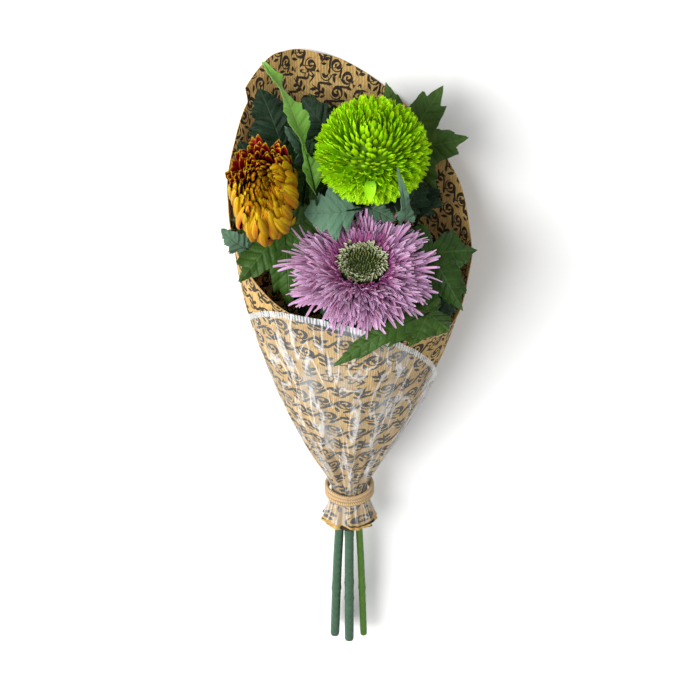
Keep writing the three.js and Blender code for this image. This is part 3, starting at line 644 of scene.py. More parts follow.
def kraft_finish():
    """Kraft: fibres and blotches of two browns, fine ribs up the sheet, a slow crumple, and worn
    black print on both faces but not on the cut edge."""
    n = Finish("kraft_paper", specular_ior_level=0.22, subsurface_weight=0.05, subsurface_scale=0.002)
    place, mm = n.place(), n.mm()
    u, v, side = place.split()
    ribs = (u.step("ARCTAN2", v) * (2 * np.pi * RIBS_AT / RIB_PITCH)).step("SINE")
    fibre = n.noise(place.scaled(0.9, 0.12, 1.0), 1.2, 5.0, 0.65)
    colour = n.blend(n.noise(mm, 0.035).ramp(0.3, 0.7), (0.47, 0.310, 0.100), (0.60, 0.415, 0.145))
    colour = n.blend(fibre.ramp(0.35, 0.75), colour, (0.35, 0.200, 0.072))
    colour = n.blend(ribs.ramp(-0.2, 1.0) * 0.42, colour, (0.25, 0.14, 0.062))
    ink, = n.use(scroll_print_effect(), place, PRINT_CELL)
    worn = 1 - n.noise(mm, 0.5).ramp(0.55, 0.85) * 0.25
    printed = ink * worn * abs(side).ramp(0.9, 1.0)
    colour = n.blend(printed * 0.97, colour, (0.012, 0.009, 0.008))
    facets = n.new("TexVoronoi", "Distance", {"Vector": place.scaled(1.0, 0.55, 0.0), "Scale": 0.03})
    crumple = facets + n.noise(mm, 0.05, 4.0) * 0.7
    ribbed = n.bump(ribs * 0.5 + fibre * 0.5, 0.3, 0.6)
    return n.shade(base_color=colour, roughness=fibre * 0.25 + 0.62, normal=n.bump(crumple, 7.0, 0.5, ribbed))


def film_rim(degrees):
    """The film's upper edge: from its short side to its long one as a cosine's power."""
    share = (1 + np.cos(np.radians(degrees - FILM_LONGEST_AT))) / 2
    return mix(FILM_SHORT, FILM_LONG, share**1.2)


def film_folds(y, degrees):
    """Sharp low folds that run up the sleeve and lean a little to either side: 1 - |sin| of
    straight waves over the sheet, each raised to a power so that only its crests stand up."""
    a = np.radians(degrees)
    return sum(height * (1 - np.abs(np.sin(around * a + up * y + phase))) ** 2.5
               for around, up, phase, height in FILM_FOLDS)


def film_sheet():
    """The clear sleeve: closed rings from below the tie to its slanting upper edge, with a second
    wall just outside them."""
    sides, rows = 240, 70
    degrees = (360 * np.arange(sides) / sides - 180)[None, :]
    y = mix(FILM_BOTTOM, film_rim(degrees), np.linspace(0, 1, rows)[:, None])
    out = 0.55 + 1.3 * smooth((y - 16) / 120) + pleats(y, degrees) * 0.9
    out = out + 0.75 * film_folds(y, degrees) * smooth((y - 12) / 60)
    walls = [wrap_point(y, degrees, out), wrap_point(y, degrees, out + FILM_THICKNESS)]
    one = rows * sides
    at = ringed(np.arange(one).reshape(rows, sides))
    place = flat_sheet(y, degrees, film_rim(degrees) - y)
    return Skin(walls, two_sides(at, one, (at[0],), (at[-1],)), place=[place, place])


def film_finish():
    """Clear film: mostly see-through, with painted glare in thin white lines along its creases and painted
    sheen in broad patches, whiter in a finely ribbed band along its upper edge, with a bright gloss."""
    n = Finish("clear_film", roughness=0.12, specular_ior_level=0.6)
    u, v, below = n.place().split()
    around = u.step("ARCTAN2", v) * FILM_RIBS_AT
    ribs = (around * (2 * np.pi / FILM_RIB_PITCH)).step("SINE").ramp(-0.4, 0.7)
    sheet = n.combine(around, v, 0.0)
    band = 1 - below.ramp(4.0, 5.5)
    creases = n.noise(sheet.scaled(0.07, 0.013, 0.0), 1.0, 3.0, 0.5, 0.8)
    # Painted light: white glare along the creases and broad patches of sheen, raised in colour and opacity.
    white = 1 - abs(creases - 0.5).ramp(0.0, 0.035)
    sheen = n.noise(sheet.scaled(0.06, 0.02, 0.0), 1.0, 2.0).ramp(0.45, 0.7)
    haze_and_glare = sheen * 0.16 + 0.05 + white * 0.2 + band * (ribs * 0.42 + 0.1)
    return n.shade(base_color=n.blend(white, (0.62, 0.66, 0.68), (0.9, 0.91, 0.92)),
                   alpha=haze_and_glare.step("MINIMUM", 1.0), normal=n.bump(creases, 2.0, 0.7))


# ------------------------------------------------------------------ stems and leaves


def stem_knots(angle, top, facing):
    """A stem's centre line: spread below the neck, close in it, where it lies at an angle round
    from the front or, with none, in the middle, and curving up to the bloom."""
    dx, dz = (0, 0) if angle is None else STEM_PITCH * np.array([np.sin(angle), np.cos(angle)])
    line = [np.array([dx * k, y, axis_height(y) + dz * k])
            for y, k in ((STEM_END_Y, 1.7), (-70, 1.35), (-24, 1.04), (0, 1), (24, 1.04))]
    before = top - unit(facing) * STEM_BEND
    return [*line, mix(line[-1], before, 0.52), before, top]


def stem(knots, radius, ridge):
    """A stem along its line, narrowing to 0.86 of its radius, with low ridges and a swelling at
    each joint, cut off square at its foot."""
    share = np.linspace(0, 1, 120)
    joints = sum(np.exp(-((share - at) / 0.006) ** 2) for at in (0.12, 0.3, 0.5, 0.64, 0.74, 0.83, 0.9))
    radii = radius * (mix(1.04, 0.86, share) + 0.14 * joints)
    radii[0] *= 0.97
    made = tube(along_curve(knots, share), radii, 20, ridge)
    around, along = made.place[:, 0], made.place[:, 1]
    made.chance = 0.42 + 0.1 * along
    made.chance[-2] = 1.2  # the pith in the cut end
    made.place = np.stack([3 + 2 * np.cos(2 * np.pi * around), 300 * along, 1 + 0 * along], -1)
    return made


class Leaf:
    """A toothed leaf. It leaves the stem at the share `at`, runs from heart to tip, bows out along
    its normal and folds up on both sides of its rib. Its tone runs from 0, dark, to 1, the palest of its
    kind: partly the leaf's own tone and partly painted shade, lowest for the leaves far inside the
    wrap. Its seed shifts its waves. The outline gives half its breadth at shares along it."""

    outline = np.array([
        (0, 0.07), (0.14, 0.13), (0.2, 0.4), (0.24, 0.62), (0.29, 0.76), (0.32, 0.72), (0.345, 0.52),
        (0.38, 0.5), (0.43, 0.84), (0.50, 1.0), (0.545, 0.9), (0.56, 0.98), (0.6, 0.84), (0.64, 0.6),
        (0.69, 0.6), (0.74, 0.72), (0.79, 0.6), (0.83, 0.46), (0.86, 0.47), (0.90, 0.32), (0.95, 0.2),
        (1, 0.03)])

    def __init__(self, at, heart, tip, normal, width, bow, tone_and_shade, seed, wave=1.0, fold=0.15):
        self.at, self.width, self.bow, self.tone_and_shade = at, width, bow, tone_and_shade
        self.seed, self.wave, self.fold = seed, wave, fold
        self.heart = np.array(heart, float)
        chord = tip - self.heart
        self.length = np.linalg.norm(chord)
        self.along = chord / self.length
        self.face = unit(normal - self.along * np.dot(normal, self.along))
        self.across = np.cross(self.along, self.face)

    def point(self, x, y, lift=0.0):
        """x is across in mm, y along in shares of the chord, lift along the face in mm."""
        x, y = np.asarray(x), np.asarray(y)
        rise = self.bow * 4 * y * (1 - y) * self.length + self.fold * (np.sqrt(x * x + 1) - 1) + lift
        return (self.heart + self.along * (y * self.length)[..., None] + self.across * x[..., None]
                + self.face * rise[..., None])

    def stalk(self, knots, radius):
        """From inside the stem, bending to run into the blade's rib."""
        root = along_curve(knots, [self.at])[0]
        bend = mix(2 * self.heart - self.point(0.0, 0.3), root, 0.6)
        line = catmull([root, bend, self.heart, self.point(0.0, 0.1), self.point(0.0, 0.3)],
                       np.linspace(0, 1, 25))
        return tube(line, np.linspace(radius * 1.15, radius * 0.35, 25), 8)

    def blade(self):
        """A grid from the foot to the tip, as broad as the outline at each station, its lobes drawn
        forward; it is quilted between its side veins and waves along its margin."""
        y = np.linspace(0, 1, 103)[:, None]
        u = np.linspace(1, -1, 21)
        teeth = 0.16 * ((y * 17) % 1 - 0.5) * smooth((y - 0.15) / 0.1) * (1 - smooth((y - 0.9) / 0.1))
        reach = np.interp(y, *self.outline.T) * (1 + teeth) * u
        x = reach * self.width / 2
        forward = mix(y, 1, 0.05 * np.abs(reach))
        side_veins = np.cos(2 * np.pi * (y * self.length - np.abs(x) * 0.8) / (0.15 * self.length))
        quilt = -0.36 * side_veins * smooth(np.abs(x) / 3)
        wave = 0.022 * self.length * np.sin(15 * y + 2.2 * np.sign(u) + self.seed * 1.7)
        droop = -0.05 * self.length * smooth((y - 0.72) / 0.28)
        lift = quilt + droop + (wave - 0.036 * self.width) * self.wave * u**2
        # across runs from + to -, so that the upper face is the one along the normal
        place = np.stack([np.abs(x), forward * self.length, 0 * x], -1)
        return closed_sheets(self.point(x, forward, lift)[None], MUM_BLADE, place[None], self.tone_and_shade)


class RaggedLeaf(Leaf):
    """The narrow young leaf: a strip with three uneven swellings."""

    outline = np.array([
        (0, 0.05), (0.03, 0.3), (0.07, 0.75), (0.1, 0.9), (0.14, 0.62), (0.17, 0.85), (0.21, 0.6),
        (0.26, 0.3), (0.36, 0.3), (0.43, 0.62), (0.48, 0.95), (0.5, 0.8), (0.54, 1.0), (0.59, 0.66),
        (0.63, 0.8), (0.68, 0.45), (0.74, 0.34), (0.8, 0.3), (0.86, 0.62), (0.89, 0.45), (0.93, 0.26),
        (1, 0.03)])


class MapleLeaf(Leaf):
    """A lobed leaf. The outline gives its reach at degrees round its heart from the tip."""

    veins = (0.0, 47.0, 102.0)
    outline = np.array([
        (0, 1), (4, 0.9), (8, 0.79), (11, 0.8), (14, 0.83), (17, 0.74), (21, 0.64), (26, 0.56), (31, 0.62),
        (36, 0.74), (40, 0.78), (43, 0.84), (47, 0.95), (50, 0.84), (54, 0.76), (58, 0.8), (61, 0.79),
        (65, 0.68), (70, 0.58), (76, 0.52), (84, 0.56), (89, 0.63), (95, 0.62), (102, 0.72), (107, 0.6),
        (113, 0.5), (122, 0.47), (134, 0.44), (146, 0.42), (158, 0.3), (168, 0.17), (180, 0.11)])

    def blade(self):
        """Rings about the heart, each a share of the outline's reach in its direction; ridged along
        the five main veins and sunk between them, with a slow wave."""
        fine = np.unique(np.concatenate([self.outline[:, 0], np.linspace(0, 180, 121), self.veins]))
        angle = np.concatenate([fine, -fine[1:-1][::-1]])
        teeth = (np.abs(angle) * 0.19 + 0.4 * np.sign(angle)) % 1 - 0.5
        reach = np.interp(np.abs(angle), *self.outline.T) * (1 + 0.03 * teeth * smooth(np.abs(angle) / 9))
        rings = np.linspace(0, 1, 15)[1:, None]
        r, turn = rings * reach, np.radians(angle)
        nearest = np.radians(np.min(np.abs(np.abs(angle)[:, None] - self.veins), axis=1))
        off, on = r * np.sin(nearest) * self.width, r * np.cos(nearest) * self.length
        phase = self.seed * 2.3
        wave = (0.02 * np.sin(7 * r + 3 * turn + phase) * rings + 0.026 * np.sin(9 * turn + phase) * rings**3
                + 0.010 * np.sin(23 * turn + 5 * r + phase) * rings**4)
        sunk = 0.05 * (np.sin(nearest * 2) * r + rings**3 * reach)
        swell = 0.18 * np.cos(2 * np.pi * (on - 0.75 * off) / 6.5) * smooth(off / 2.5)
        points = self.point(r * np.sin(turn) * self.width, r * np.cos(turn),
                            (self.wave * wave - sunk) * self.length + swell)
        place = np.stack([off, on, 0 * off], -1)
        # rings grow outwards and the angle runs towards +across: the face looks along -cross, so flip
        return closed_star(points[:, ::-1], self.heart, MAPLE_BLADE, self.face, place[:, ::-1], self.tone_and_shade)


class LongLeaf(MapleLeaf):
    """The long leaf that leans over the front rim: its side lobes are short."""

    outline = np.array([
        (0, 1), (3, 0.9), (6, 0.78), (8, 0.8), (11, 0.66), (14, 0.56), (18, 0.5), (21, 0.56), (24, 0.5),
        (30, 0.42), (38, 0.4), (44, 0.46), (50, 0.42), (60, 0.36), (76, 0.32), (90, 0.34), (102, 0.36),
        (115, 0.3), (135, 0.26), (155, 0.2), (170, 0.13), (180, 0.1)])


def leafy_stem(knots, leaves, radius, stalk_radius, ridge):
    skins = [stem(knots, radius, ridge)]
    for leaf in leaves:
        skins += [leaf.blade(), leaf.stalk(knots, stalk_radius)]
    return skins


def calyx(place, back, radius):
    """The cup behind a bloom with three rows of ten narrow bracts pressed to it."""
    row = np.arange(30) // 10
    shape = ((0, 0.8), (0.2, 1), (0.4, 1), (0.6, 0.85), (0.8, 0.55), (1, 0.15))
    bracts = petals(np.arange(30) * 2 * np.pi / 10 + row * 0.3, radius * (0.55 + 0.18 * row),
                    -back - 5.5 + 1.6 * row, 48.0 - 6 * row, 28.0, 9.0, 1.7, shape, 0.3, (0,) * 4, 0.0, 0.0,
                    0.35, 0.3)
    cup = turned([(0, -back - CUP_DEPTH), (MUM_STEM * 0.8, -back - CUP_DEPTH), (radius * 0.5, -back - 6),
                  (radius * 0.85, -back - 2), (radius, -back + 1.5), (0, -back + 1.5)], 24)
    skins = stood([cup, bracts], place)
    for s in skins:
        y = s.points[:, 1]
        s.place = np.stack([0 * y + 2, y, 0 * y + 1], -1)
    return skins


# ------------------------------------------------------------------ blooms


def petals(turn, r0, z0, rise, curl, length, half_width, shape, scoop, notch, twist, sway, thickness, chance):
    """N petals in the bloom's own frame. A petal starts at radius r0 and height z0, climbs at `rise`
    degrees from flat and bends by `curl` degrees towards the axis along its length. Its shape gives
    shares t of its length and its breadth there, times `half_width` to each side; its edges are
    scooped up by `scoop` of that, its end is cut back by `notch` at each column, and it may twist
    and sway aside towards its end."""
    col = lambda a: np.broadcast_to(np.asarray(a, float), turn.shape)[:, None, None]
    t, breadth = np.array(shape, float).T[:, None, :, None]
    notch = np.reshape(notch, (-1, 1, np.shape(notch)[-1]))
    u = np.linspace(-1, 1, notch.shape[-1])
    reach = t * (1 - notch * t**3)
    start, bend = np.radians(col(rise)), np.radians(col(curl))
    bend = np.where(np.abs(bend) < 0.02, 0.02, bend)
    slope = start + bend * reach
    out = col(r0) + col(length) / bend * (np.sin(slope) - np.sin(start))
    high = col(z0) - col(length) / bend * (np.cos(slope) - np.cos(start))
    half = col(half_width) * breadth
    across, lift = half * u, scoop * half * u**2
    c, s = np.cos(col(twist) * t), np.sin(col(twist) * t)
    across, lift = across * c - lift * s, across * s + lift * c
    across = across + col(sway) * col(length) * t**2
    out, high = out - np.sin(slope) * lift, high + np.cos(slope) * lift
    c, s = np.cos(col(turn)), np.sin(col(turn))
    grid = np.stack([out * c - across * s, out * s + across * c, high], -1)
    place = np.stack(np.broadcast_arrays(reach, u, np.zeros(out.shape)), -1)
    return closed_sheets(grid, thickness, place, chance)


def outward(share, rng):
    """Each petal's own number: from 0 at the bloom's middle to 1 outside, give or take 0.18."""
    return np.clip(share + rng.uniform(-0.18, 0.18, len(share)), 0, 1)


def heart_ball(radius, squat):
    """The squat ball that the petals stand out of."""
    t = np.linspace(-np.pi / 2, np.pi / 2, 17)
    # Its place is that of a petal's foot, so the petal finish paints it with the petals' foot shade.
    return turned(np.stack([radius * np.cos(t), radius * squat * np.sin(t)], -1), 32, (0, 0, -1))


def pompon_petals():
    """Short scooped petals on a golden-angle spiral, small and upright at the middle, broader and
    longer to the sides; round the rim their tips turn outwards. One broad bract hangs below, and
    that side of the bloom is pressed to 0.84 of its reach."""
    rng = np.random.default_rng(11)
    count = 800
    own = lambda spread: rng.uniform(-spread, spread, count)
    k = np.arange(count)
    share = ((k + 0.5) / count) ** 0.56
    polar = np.radians(POMPON_SPREAD) * share
    inner = POMPON_CORE - 4
    outermost = smooth((share - 0.62) / 0.38)
    length = (POMPON_RADIUS - POMPON_CORE + 4.5) * mix(0.84, 1.08, share) * (1 + own(0.08))
    notch = np.abs(rng.normal(1, 0.5, (count, 1))) * np.array([0.12, 0.0, 0.07, 0.0, 0.12])
    petal = ((0, 0.5), (0.35, 0.78), (0.65, 1.0), (0.85, 0.92), (0.95, 0.62), (1, 0.25))
    crowd = petals(
        k * GOLDEN_ANGLE + own(0.1), inner * np.sin(polar), inner * POMPON_SQUAT * np.cos(polar),
        90 - np.degrees(polar) - 6 * share + own(7),
        mix(36, 46, share) * (1 + own(0.25)) * (1 - 1.35 * outermost), length,
        mix(1.3, 2.2, smooth(share * 1.3)) * (1 + own(0.14)), petal, 0.55, notch, own(0.4), own(0.06),
        0.28, outward(share, rng))
    broad = tuple(zip(np.linspace(0, 1, 7), (0.7, 0.95, 1.0, 0.95, 0.8, 0.5, 0.15)))
    bract = petals(np.array([-1.62]), 31.0, 6.0, -22.0, -34.0, 14.0, 3.6, broad, 0.2, (0,) * 5, 0.0, 0.0,
                   0.4, 1.0)
    return pressed([crowd, bract, heart_ball(POMPON_CORE, POMPON_SQUAT)], 1, 0.84, 1)


def bronze_petals():
    """Broad round-backed straps that close over the middle like fingers, the outermost hooked
    under. Up and to the left some stand open and show their dark red faces. The bloom is narrower
    than it is long, and longest below."""
    rng = np.random.default_rng(5)
    count = 270
    own = lambda spread: rng.uniform(-spread, spread, count)
    k = np.arange(count)
    share = (k + 0.5) / count
    turn = k * GOLDEN_ANGLE
    away = share > 0.88
    polar = np.arccos(1 - share * (1 - np.cos(np.radians(BRONZE_SPREAD))))
    polar = np.where(away, np.radians(mix(104, 140, (share - 0.88) / 0.12)), polar)
    open_ = smooth((np.cos(turn - np.radians(118)) - 0.12) / 0.45) * smooth((share - 0.14) / 0.16)
    rise = np.where(away, 20, mix(86, 26, share)) + 20 * open_ * ~away + own(5)
    curl = np.where(away, 104, mix(34, 134, share)) * (1 - 0.8 * open_) * (1 + own(0.14))
    length = np.where(away, 0.7 * BRONZE_RADIUS, mix(15, 1.24 * BRONZE_RADIUS, share**0.85))
    inner = BRONZE_CORE - 1.5
    petal = ((0, 0.55), (0.22, 0.78), (0.45, 0.95), (0.66, 1.03), (0.84, 0.94), (0.95, 0.68), (1, 0.34))
    crowd = petals(
        turn + own(0.16), inner * np.sin(polar), inner * BRONZE_SQUAT * np.cos(polar), rise, curl,
        length * (1 - 0.2 * open_) * (1 + own(0.14)), mix(1.3, 2.7, smooth(share * 1.5)) * (1 + own(0.14)),
        petal, 0.62, (0.05, 0.0125, 0, 0.0125, 0.05), own(0.5), own(0.14), 0.4, outward(share, rng))
    return pressed([crowd, heart_ball(BRONZE_CORE, BRONZE_SQUAT)], 0.86, 1.36, 1.2)


def lilac_rays():
    """Rays on a golden-angle spiral: a dense ring of short upright ones by the eye, then longer ones
    that lie out flat. Each ray is four narrow gutters that share a foot and part towards their
    round ends like the fingers of a hand. A hub carries them."""
    rng = np.random.default_rng(8)
    rays, fingers = 500, 4
    of_ray = lambda spread: np.repeat(rng.uniform(-spread, spread, rays), fingers)
    own = lambda spread: rng.uniform(-spread, spread, rays * fingers)
    k = np.repeat(np.arange(rays), fingers)
    finger = np.tile(np.arange(fingers) - 1.5, rays)
    share = ((k + 0.5) / rays) ** 0.92
    turn = k * GOLDEN_ANGLE + of_ray(0.17)
    near = 0.94 - 0.1 * smooth(-np.sin(turn)) * share
    near = near * (1 + 0.09 * np.sin(9 * turn + 1) + 0.07 * np.sin(17 * turn + 2))
    near = near * np.where(of_ray(1) > 0.76, 1.08, 1.0)
    petal = ((0, 0.7), (0.25, 0.72), (0.5, 0.85), (0.72, 1.0), (0.9, 0.88), (1, 0.42))
    crowd = petals(
        turn + 0.022 * finger, LILAC_DISC + 0.2 + 2.2 * share, mix(0.6, -4.5, share),
        mix(88, 2, share**0.85) + of_ray(14) + own(3), mix(-60, -16, share) + of_ray(24) + own(36),
        mix(6.5, LILAC_RADIUS - LILAC_DISC - 0.5, share**1.1) * near * (1 + of_ray(0.1) + own(0.1)),
        mix(0.42, 0.8, share**0.8) * (1 + own(0.2)), petal, 0.9, (0, 0, 0), own(0.8),
        finger * (0.1 + of_ray(0.07)) + of_ray(0.2), 0.24, np.clip(share + of_ray(0.14) + own(0.1), 0, 1))
    # The hub keeps the place of a petal's foot, so the petal finish paints it with the petals' foot shade.
    hub = turned([(0, -11), (7, -11), (LILAC_DISC + 2, -6), (LILAC_DISC + 2.5, -2), (LILAC_DISC + 1.6, 0.5),
                  (0, 0.5)], 40)
    return [crowd, hub]


def lilac_eye():
    """A low dome crowded with tubular florets on a golden-angle spiral: buds at the middle, open
    and pale-rimmed towards the edge. A floret is a tube that flares, dips inside and closes."""
    rng = np.random.default_rng(3)
    count, sides = 230, 6
    own = lambda spread: rng.uniform(-spread, spread, count)
    col = lambda a: a[:, None, None]
    k = np.arange(count)
    share = np.sqrt((k + 0.5) / count)
    turn = k * GOLDEN_ANGLE + own(0.03) / share
    radius = (LILAC_DISC - 0.4) * share + own(0.2)
    base = 3.2 + 3.0 * np.sqrt(1 - 0.8 * share**2)
    open_ = smooth((share - 0.45) / 0.4)
    tall = mix(2.1, 3.0, open_) * (1 + own(0.35))
    leaned = tall * (mix(0.3, 0.65, open_) * share + own(0.3) * open_)
    levels = np.array([0, 0.6, 1.0, 0.75])
    heights = levels[:, None]
    spreads = np.stack([0.8 + 0 * open_, 0.9 + 0 * open_, mix(0.35, 1.45, open_), mix(0.2, 0.5, open_)], 1)
    angle = ring_of(sides)
    lobes = 1 + 0.34 * col(open_) * np.cos(3 * angle) * (heights > 0.9)
    size = col(mix(0.58, 0.74, open_)) * spreads[..., None] * lobes
    out, aside = col(radius) + heights * col(leaned) + size * np.cos(angle), size * np.sin(angle)
    c, s = np.cos(turn), np.sin(turn)
    rings = np.stack([out * col(c) - aside * col(s), out * col(s) + aside * col(c),
                      col(base) + heights * col(tall) + 0 * angle], -1)
    middle = lambda reach, z: np.stack([reach * c, reach * s, z], -1)
    place = np.zeros((count, len(levels) * sides + 2, 3))
    place[:, :-2, 0] = np.repeat(levels, sides)
    place[:, -1, 0] = 0.5
    place[:, :, 1] = open_[:, None]
    low, high = middle(radius, base - 0.2), middle(radius + 0.7 * leaned, base + 0.62 * tall)
    florets = capped(rings, low, high, place, rng.uniform(0, 1, count))
    crown = [(LILAC_DISC * r, 3.4 + 3.2 * np.sqrt(1 - 0.8 * r * r)) for r in np.linspace(1, 0.125, 8)]
    return [florets, turned([(0, 0.6), (LILAC_DISC, 0.6), *crown, (0, 6.4)], 48)]


def eye_finish():
    """Florets: dark green buds, and towards the edge pale yellow-green rims that turn white."""
    n = Finish("green_floret", subsurface_weight=0.08, subsurface_scale=0.001)
    up, open_, _ = n.place().split()
    chance = n.chance()
    bud = n.blend(chance, (0.012, 0.026, 0.004), (0.13, 0.16, 0.028))
    rim = n.blend(chance, (0.24, 0.28, 0.09), (0.60, 0.60, 0.45))
    colour = n.blend(up.ramp(0.72, 0.98) * (open_ * 0.85 + 0.15), bud, rim)
    return n.shade(base_color=colour, roughness=chance * 0.2 + 0.45,
                   normal=n.bump(n.noise(n.mm(), 1.5, 2.0), 0.3, 0.4))


# ------------------------------------------------------------------ the tie


def neck_tie():
    """Three turns of round elastic side by side about the neck, square to its axis, each a ring
    whose radius breathes a little, its cords twisted round it."""
    steps, sides = 120, 14
    t = ring_of(steps)[:, None]
    phi = ring_of(sides)
    out = np.concatenate([np.sin(t), 0 * t, np.cos(t)], -1)[:, None]
    round_ = np.cos(phi)[:, None] * out + np.sin(phi)[:, None] * np.array([0, 1, 0])
    twist = 1 + 0.05 * np.cos(3 * (phi + 20 * t))[..., None]
    quads = faces_of(ringed(ringed(np.arange(steps * sides).reshape(steps, sides)).T))
    c, s = np.cos(AXIS_TILT), np.sin(AXIS_TILT)
    lean = np.array([[1, 0, 0], [0, c, -s], [0, s, c]])
    skins = []
    for i, y in enumerate((-3.0, 0.0, 3.0)):
        ring = TIE_BORE + 1.6 + 0.12 * np.sin(5 * t + i)
        middle = ring[..., None] * out + (y + 0.25 * np.sin(3 * t + 2 * i))[..., None] * np.array([0, 1, 0])
        points = (middle + TIE_CORD * twist * round_) @ lean.T + np.array([0, 0, NECK_HEIGHT])
        place = np.stack(np.broadcast_arrays(t * ring, phi, 1.0), -1)
        skins.append(Skin(points, quads, place=place, chance=i / 3))
    return skins


def tie_finish():
    """Elastic: pale and dark cords wound round it at a slant."""
    n = Finish("elastic_tie", specular_ior_level=0.3)
    u, phi, _ = n.place().split()
    mm = n.mm()
    cord = (u * (1.3 * np.pi) + phi * 3.0).step("SINE")
    colour = n.blend(cord.ramp(-0.8, 0.9), (0.28, 0.17, 0.075), (0.62, 0.44, 0.24))
    colour = n.blend(n.noise(mm, 0.4) * 0.4, colour, (0.5, 0.36, 0.2))
    rough = n.noise(mm, 2.0, 2.0) * 0.2 + 0.55
    return n.shade(base_color=colour, roughness=rough, normal=n.bump(cord, 0.3, 0.6))


# ------------------------------------------------------------------ putting it together

piece("kraft_paper_wrap", [kraft_paper_sheet()], kraft_finish(), ["kraft_wrap"])
piece("clear_film_sleeve", [film_sheet()], film_finish(), ["film_sleeve"])
piece("elastic_neck_tie", neck_tie(), tie_finish(), ["neck_tie"])

# The green petals' paler tip colour is a painted highlight on their lit tips.
green_petal = petal_finish("green_petal", base=(0.25, 0.53, 0.001), tip=(0.37, 0.67, 0.003),
                           foot_shade=(0.10, 0.26, 0.001), young=(0.30, 0.59, 0.002), tip_start=0.62)
bronze_petal = petal_finish("bronze_petal", base=(0.41, 0.26, 0.002), tip=(0.49, 0.35, 0.005),
                            foot_shade=(0.10, 0.025, 0.001), young=(0.36, 0.23, 0.002), inner=(0.27, 0.006, 0.016),
                            streak=(0.34, 0.045, 0.002), streak_and_margin_shade_share=0.7, fineness=1.6)
lilac_petal = petal_finish("lilac_petal", base=(0.37, 0.155, 0.31), tip=(0.57, 0.36, 0.54),
                           foot_shade=(0.17, 0.02, 0.10), young=(0.34, 0.08, 0.24), base_end=0.7, tip_start=0.5)
piece("green_pompon", stood(pompon_petals(), POMPON_AT), green_petal, ["green_mum_bloom"])
piece("bronze_bloom", stood(bronze_petals(), BRONZE_AT), bronze_petal, ["bronze_mum_bloom"])
piece("lilac_ray_petals", stood(lilac_rays(), LILAC_AT), lilac_petal, ["lilac_mum_rays"])
piece("lilac_eye_florets", stood(lilac_eye(), LILAC_AT), eye_finish(), ["lilac_mum_disc"])

mum_leaf = leaf_finish("mum_leaf", dark=(0.002, 0.009, 0.002), pale=(0.115, 0.225, 0.145),
                       back=(0.05, 0.10, 0.06), vein=(0.15, 0.26, 0.14), pitch=5.4, slant=0.8, gloss=0.09)
maple_leaf = leaf_finish("maple_leaf", dark=(0.006, 0.022, 0.003), pale=(0.14, 0.31, 0.048),
                         back=(0.08, 0.18, 0.035), vein=(0.22, 0.38, 0.09), pitch=6.5, slant=0.75, gloss=0.11)

# A bloom's stem: its name, the solid it stands for, its angle in the neck, its bloom's place and
# back, its cup's radius, and its leaves.
# Each leaf's last number before its seed is its tone: partly its own, and painted shade for the leaves far
# inside the wrap, which are given about 0.
for name, node, angle, place, back, cup, leaves in (
    ("green_pompon_stem", "green_mum_stem", None, POMPON_AT, POMPON_BACK, 9, [
        Leaf(0.97, (8, 241, 88), (-28, 241, 96), (-0.1, 0.3, 0.95), 36, 0.16, 1.0, seed=1, wave=0.6),
        Leaf(0.97, (11, 243, 90), (29, 240, 104), (0.1, 0.4, 0.9), 13, 0.2, 0.35, seed=2),
        Leaf(0.96, (28, 243, 88), (31, 282, 134), (0.3, -0.7, 0.65), 10, 0.3, 0.5, seed=3, wave=2.6),
        Leaf(0.74, (2, 262, 50), (-30, 298, 45), (0.1, 0.1, 1), 32, 0.14, 0.02, seed=4, wave=2.0),
        Leaf(0.74, (32, 226, 74), (46, 256, 66), (0.1, 0.2, 1), 26, 0.12, 0.02, seed=5),
        Leaf(0.86, (0, 226, 72), (30, 246, 66), (-0.1, 0.3, 1), 34, 0.1, 0.0, seed=20),
    ]),
    ("bronze_bloom_stem", "bronze_mum_stem", -60, BRONZE_AT, BRONZE_BACK, 8, [
        Leaf(0.78, (-40, 258, 56), (-57, 305, 44), (0.2, 0.2, 0.9), 34, 0.12, 0.02, seed=6, wave=2.0),
        Leaf(0.82, (-27, 262, 82), (-36, 300, 102), (0.8, -0.2, 0.5), 20, 0.14, 0.2, seed=7, wave=1.6),
        Leaf(0.74, (-61, 215, 96), (-80, 233, 104), (-0.2, 0.3, 0.9), 17, 0.16, 0.5, seed=8),
        Leaf(0.70, (-52, 232, 54), (-70, 272, 52), (0.4, 0.2, 0.9), 30, 0.1, 0.02, seed=9, wave=1.5),
    ]),
    ("lilac_bloom_stem", "lilac_mum_stem", 0, LILAC_AT, LILAC_BACK, 9, [
        Leaf(0.76, (62, 212, 84), (62, 170, 106), (-0.2, 0.5, 0.85), 28, 0.1, 0.08, seed=10),
        Leaf(0.76, (4, 206, 84), (40, 182, 124), (0, 0.6, 0.8), 24, 0.1, 0.15, seed=11),
        Leaf(0.76, (-8, 204, 84), (-14, 180, 126), (0, 0.7, 0.7), 22, 0.1, 0.15, seed=12),
        Leaf(0.72, (44, 220, 62), (54, 248, 54), (-0.1, 0.3, 1), 26, 0.1, 0.02, seed=13),
        Leaf(0.70, (-22, 206, 74), (-44, 184, 92), (0.1, 0.5, 0.85), 30, 0.1, 0.02, seed=21),
        Leaf(0.66, (22, 196, 74), (34, 168, 92), (-0.1, 0.5, 0.85), 30, 0.1, 0.02, seed=22),
    ]),
):
    facing = unit(place[1])
    line = stem_knots(None if angle is None else np.radians(angle), place[0] - facing * (back + STEM_IN_CUP),
                      facing)
    skins = leafy_stem(line, leaves, MUM_STEM, MUM_STALK, MUM_RIDGE) + calyx(place, back, cup)
    piece(name, skins, mum_leaf, [node])
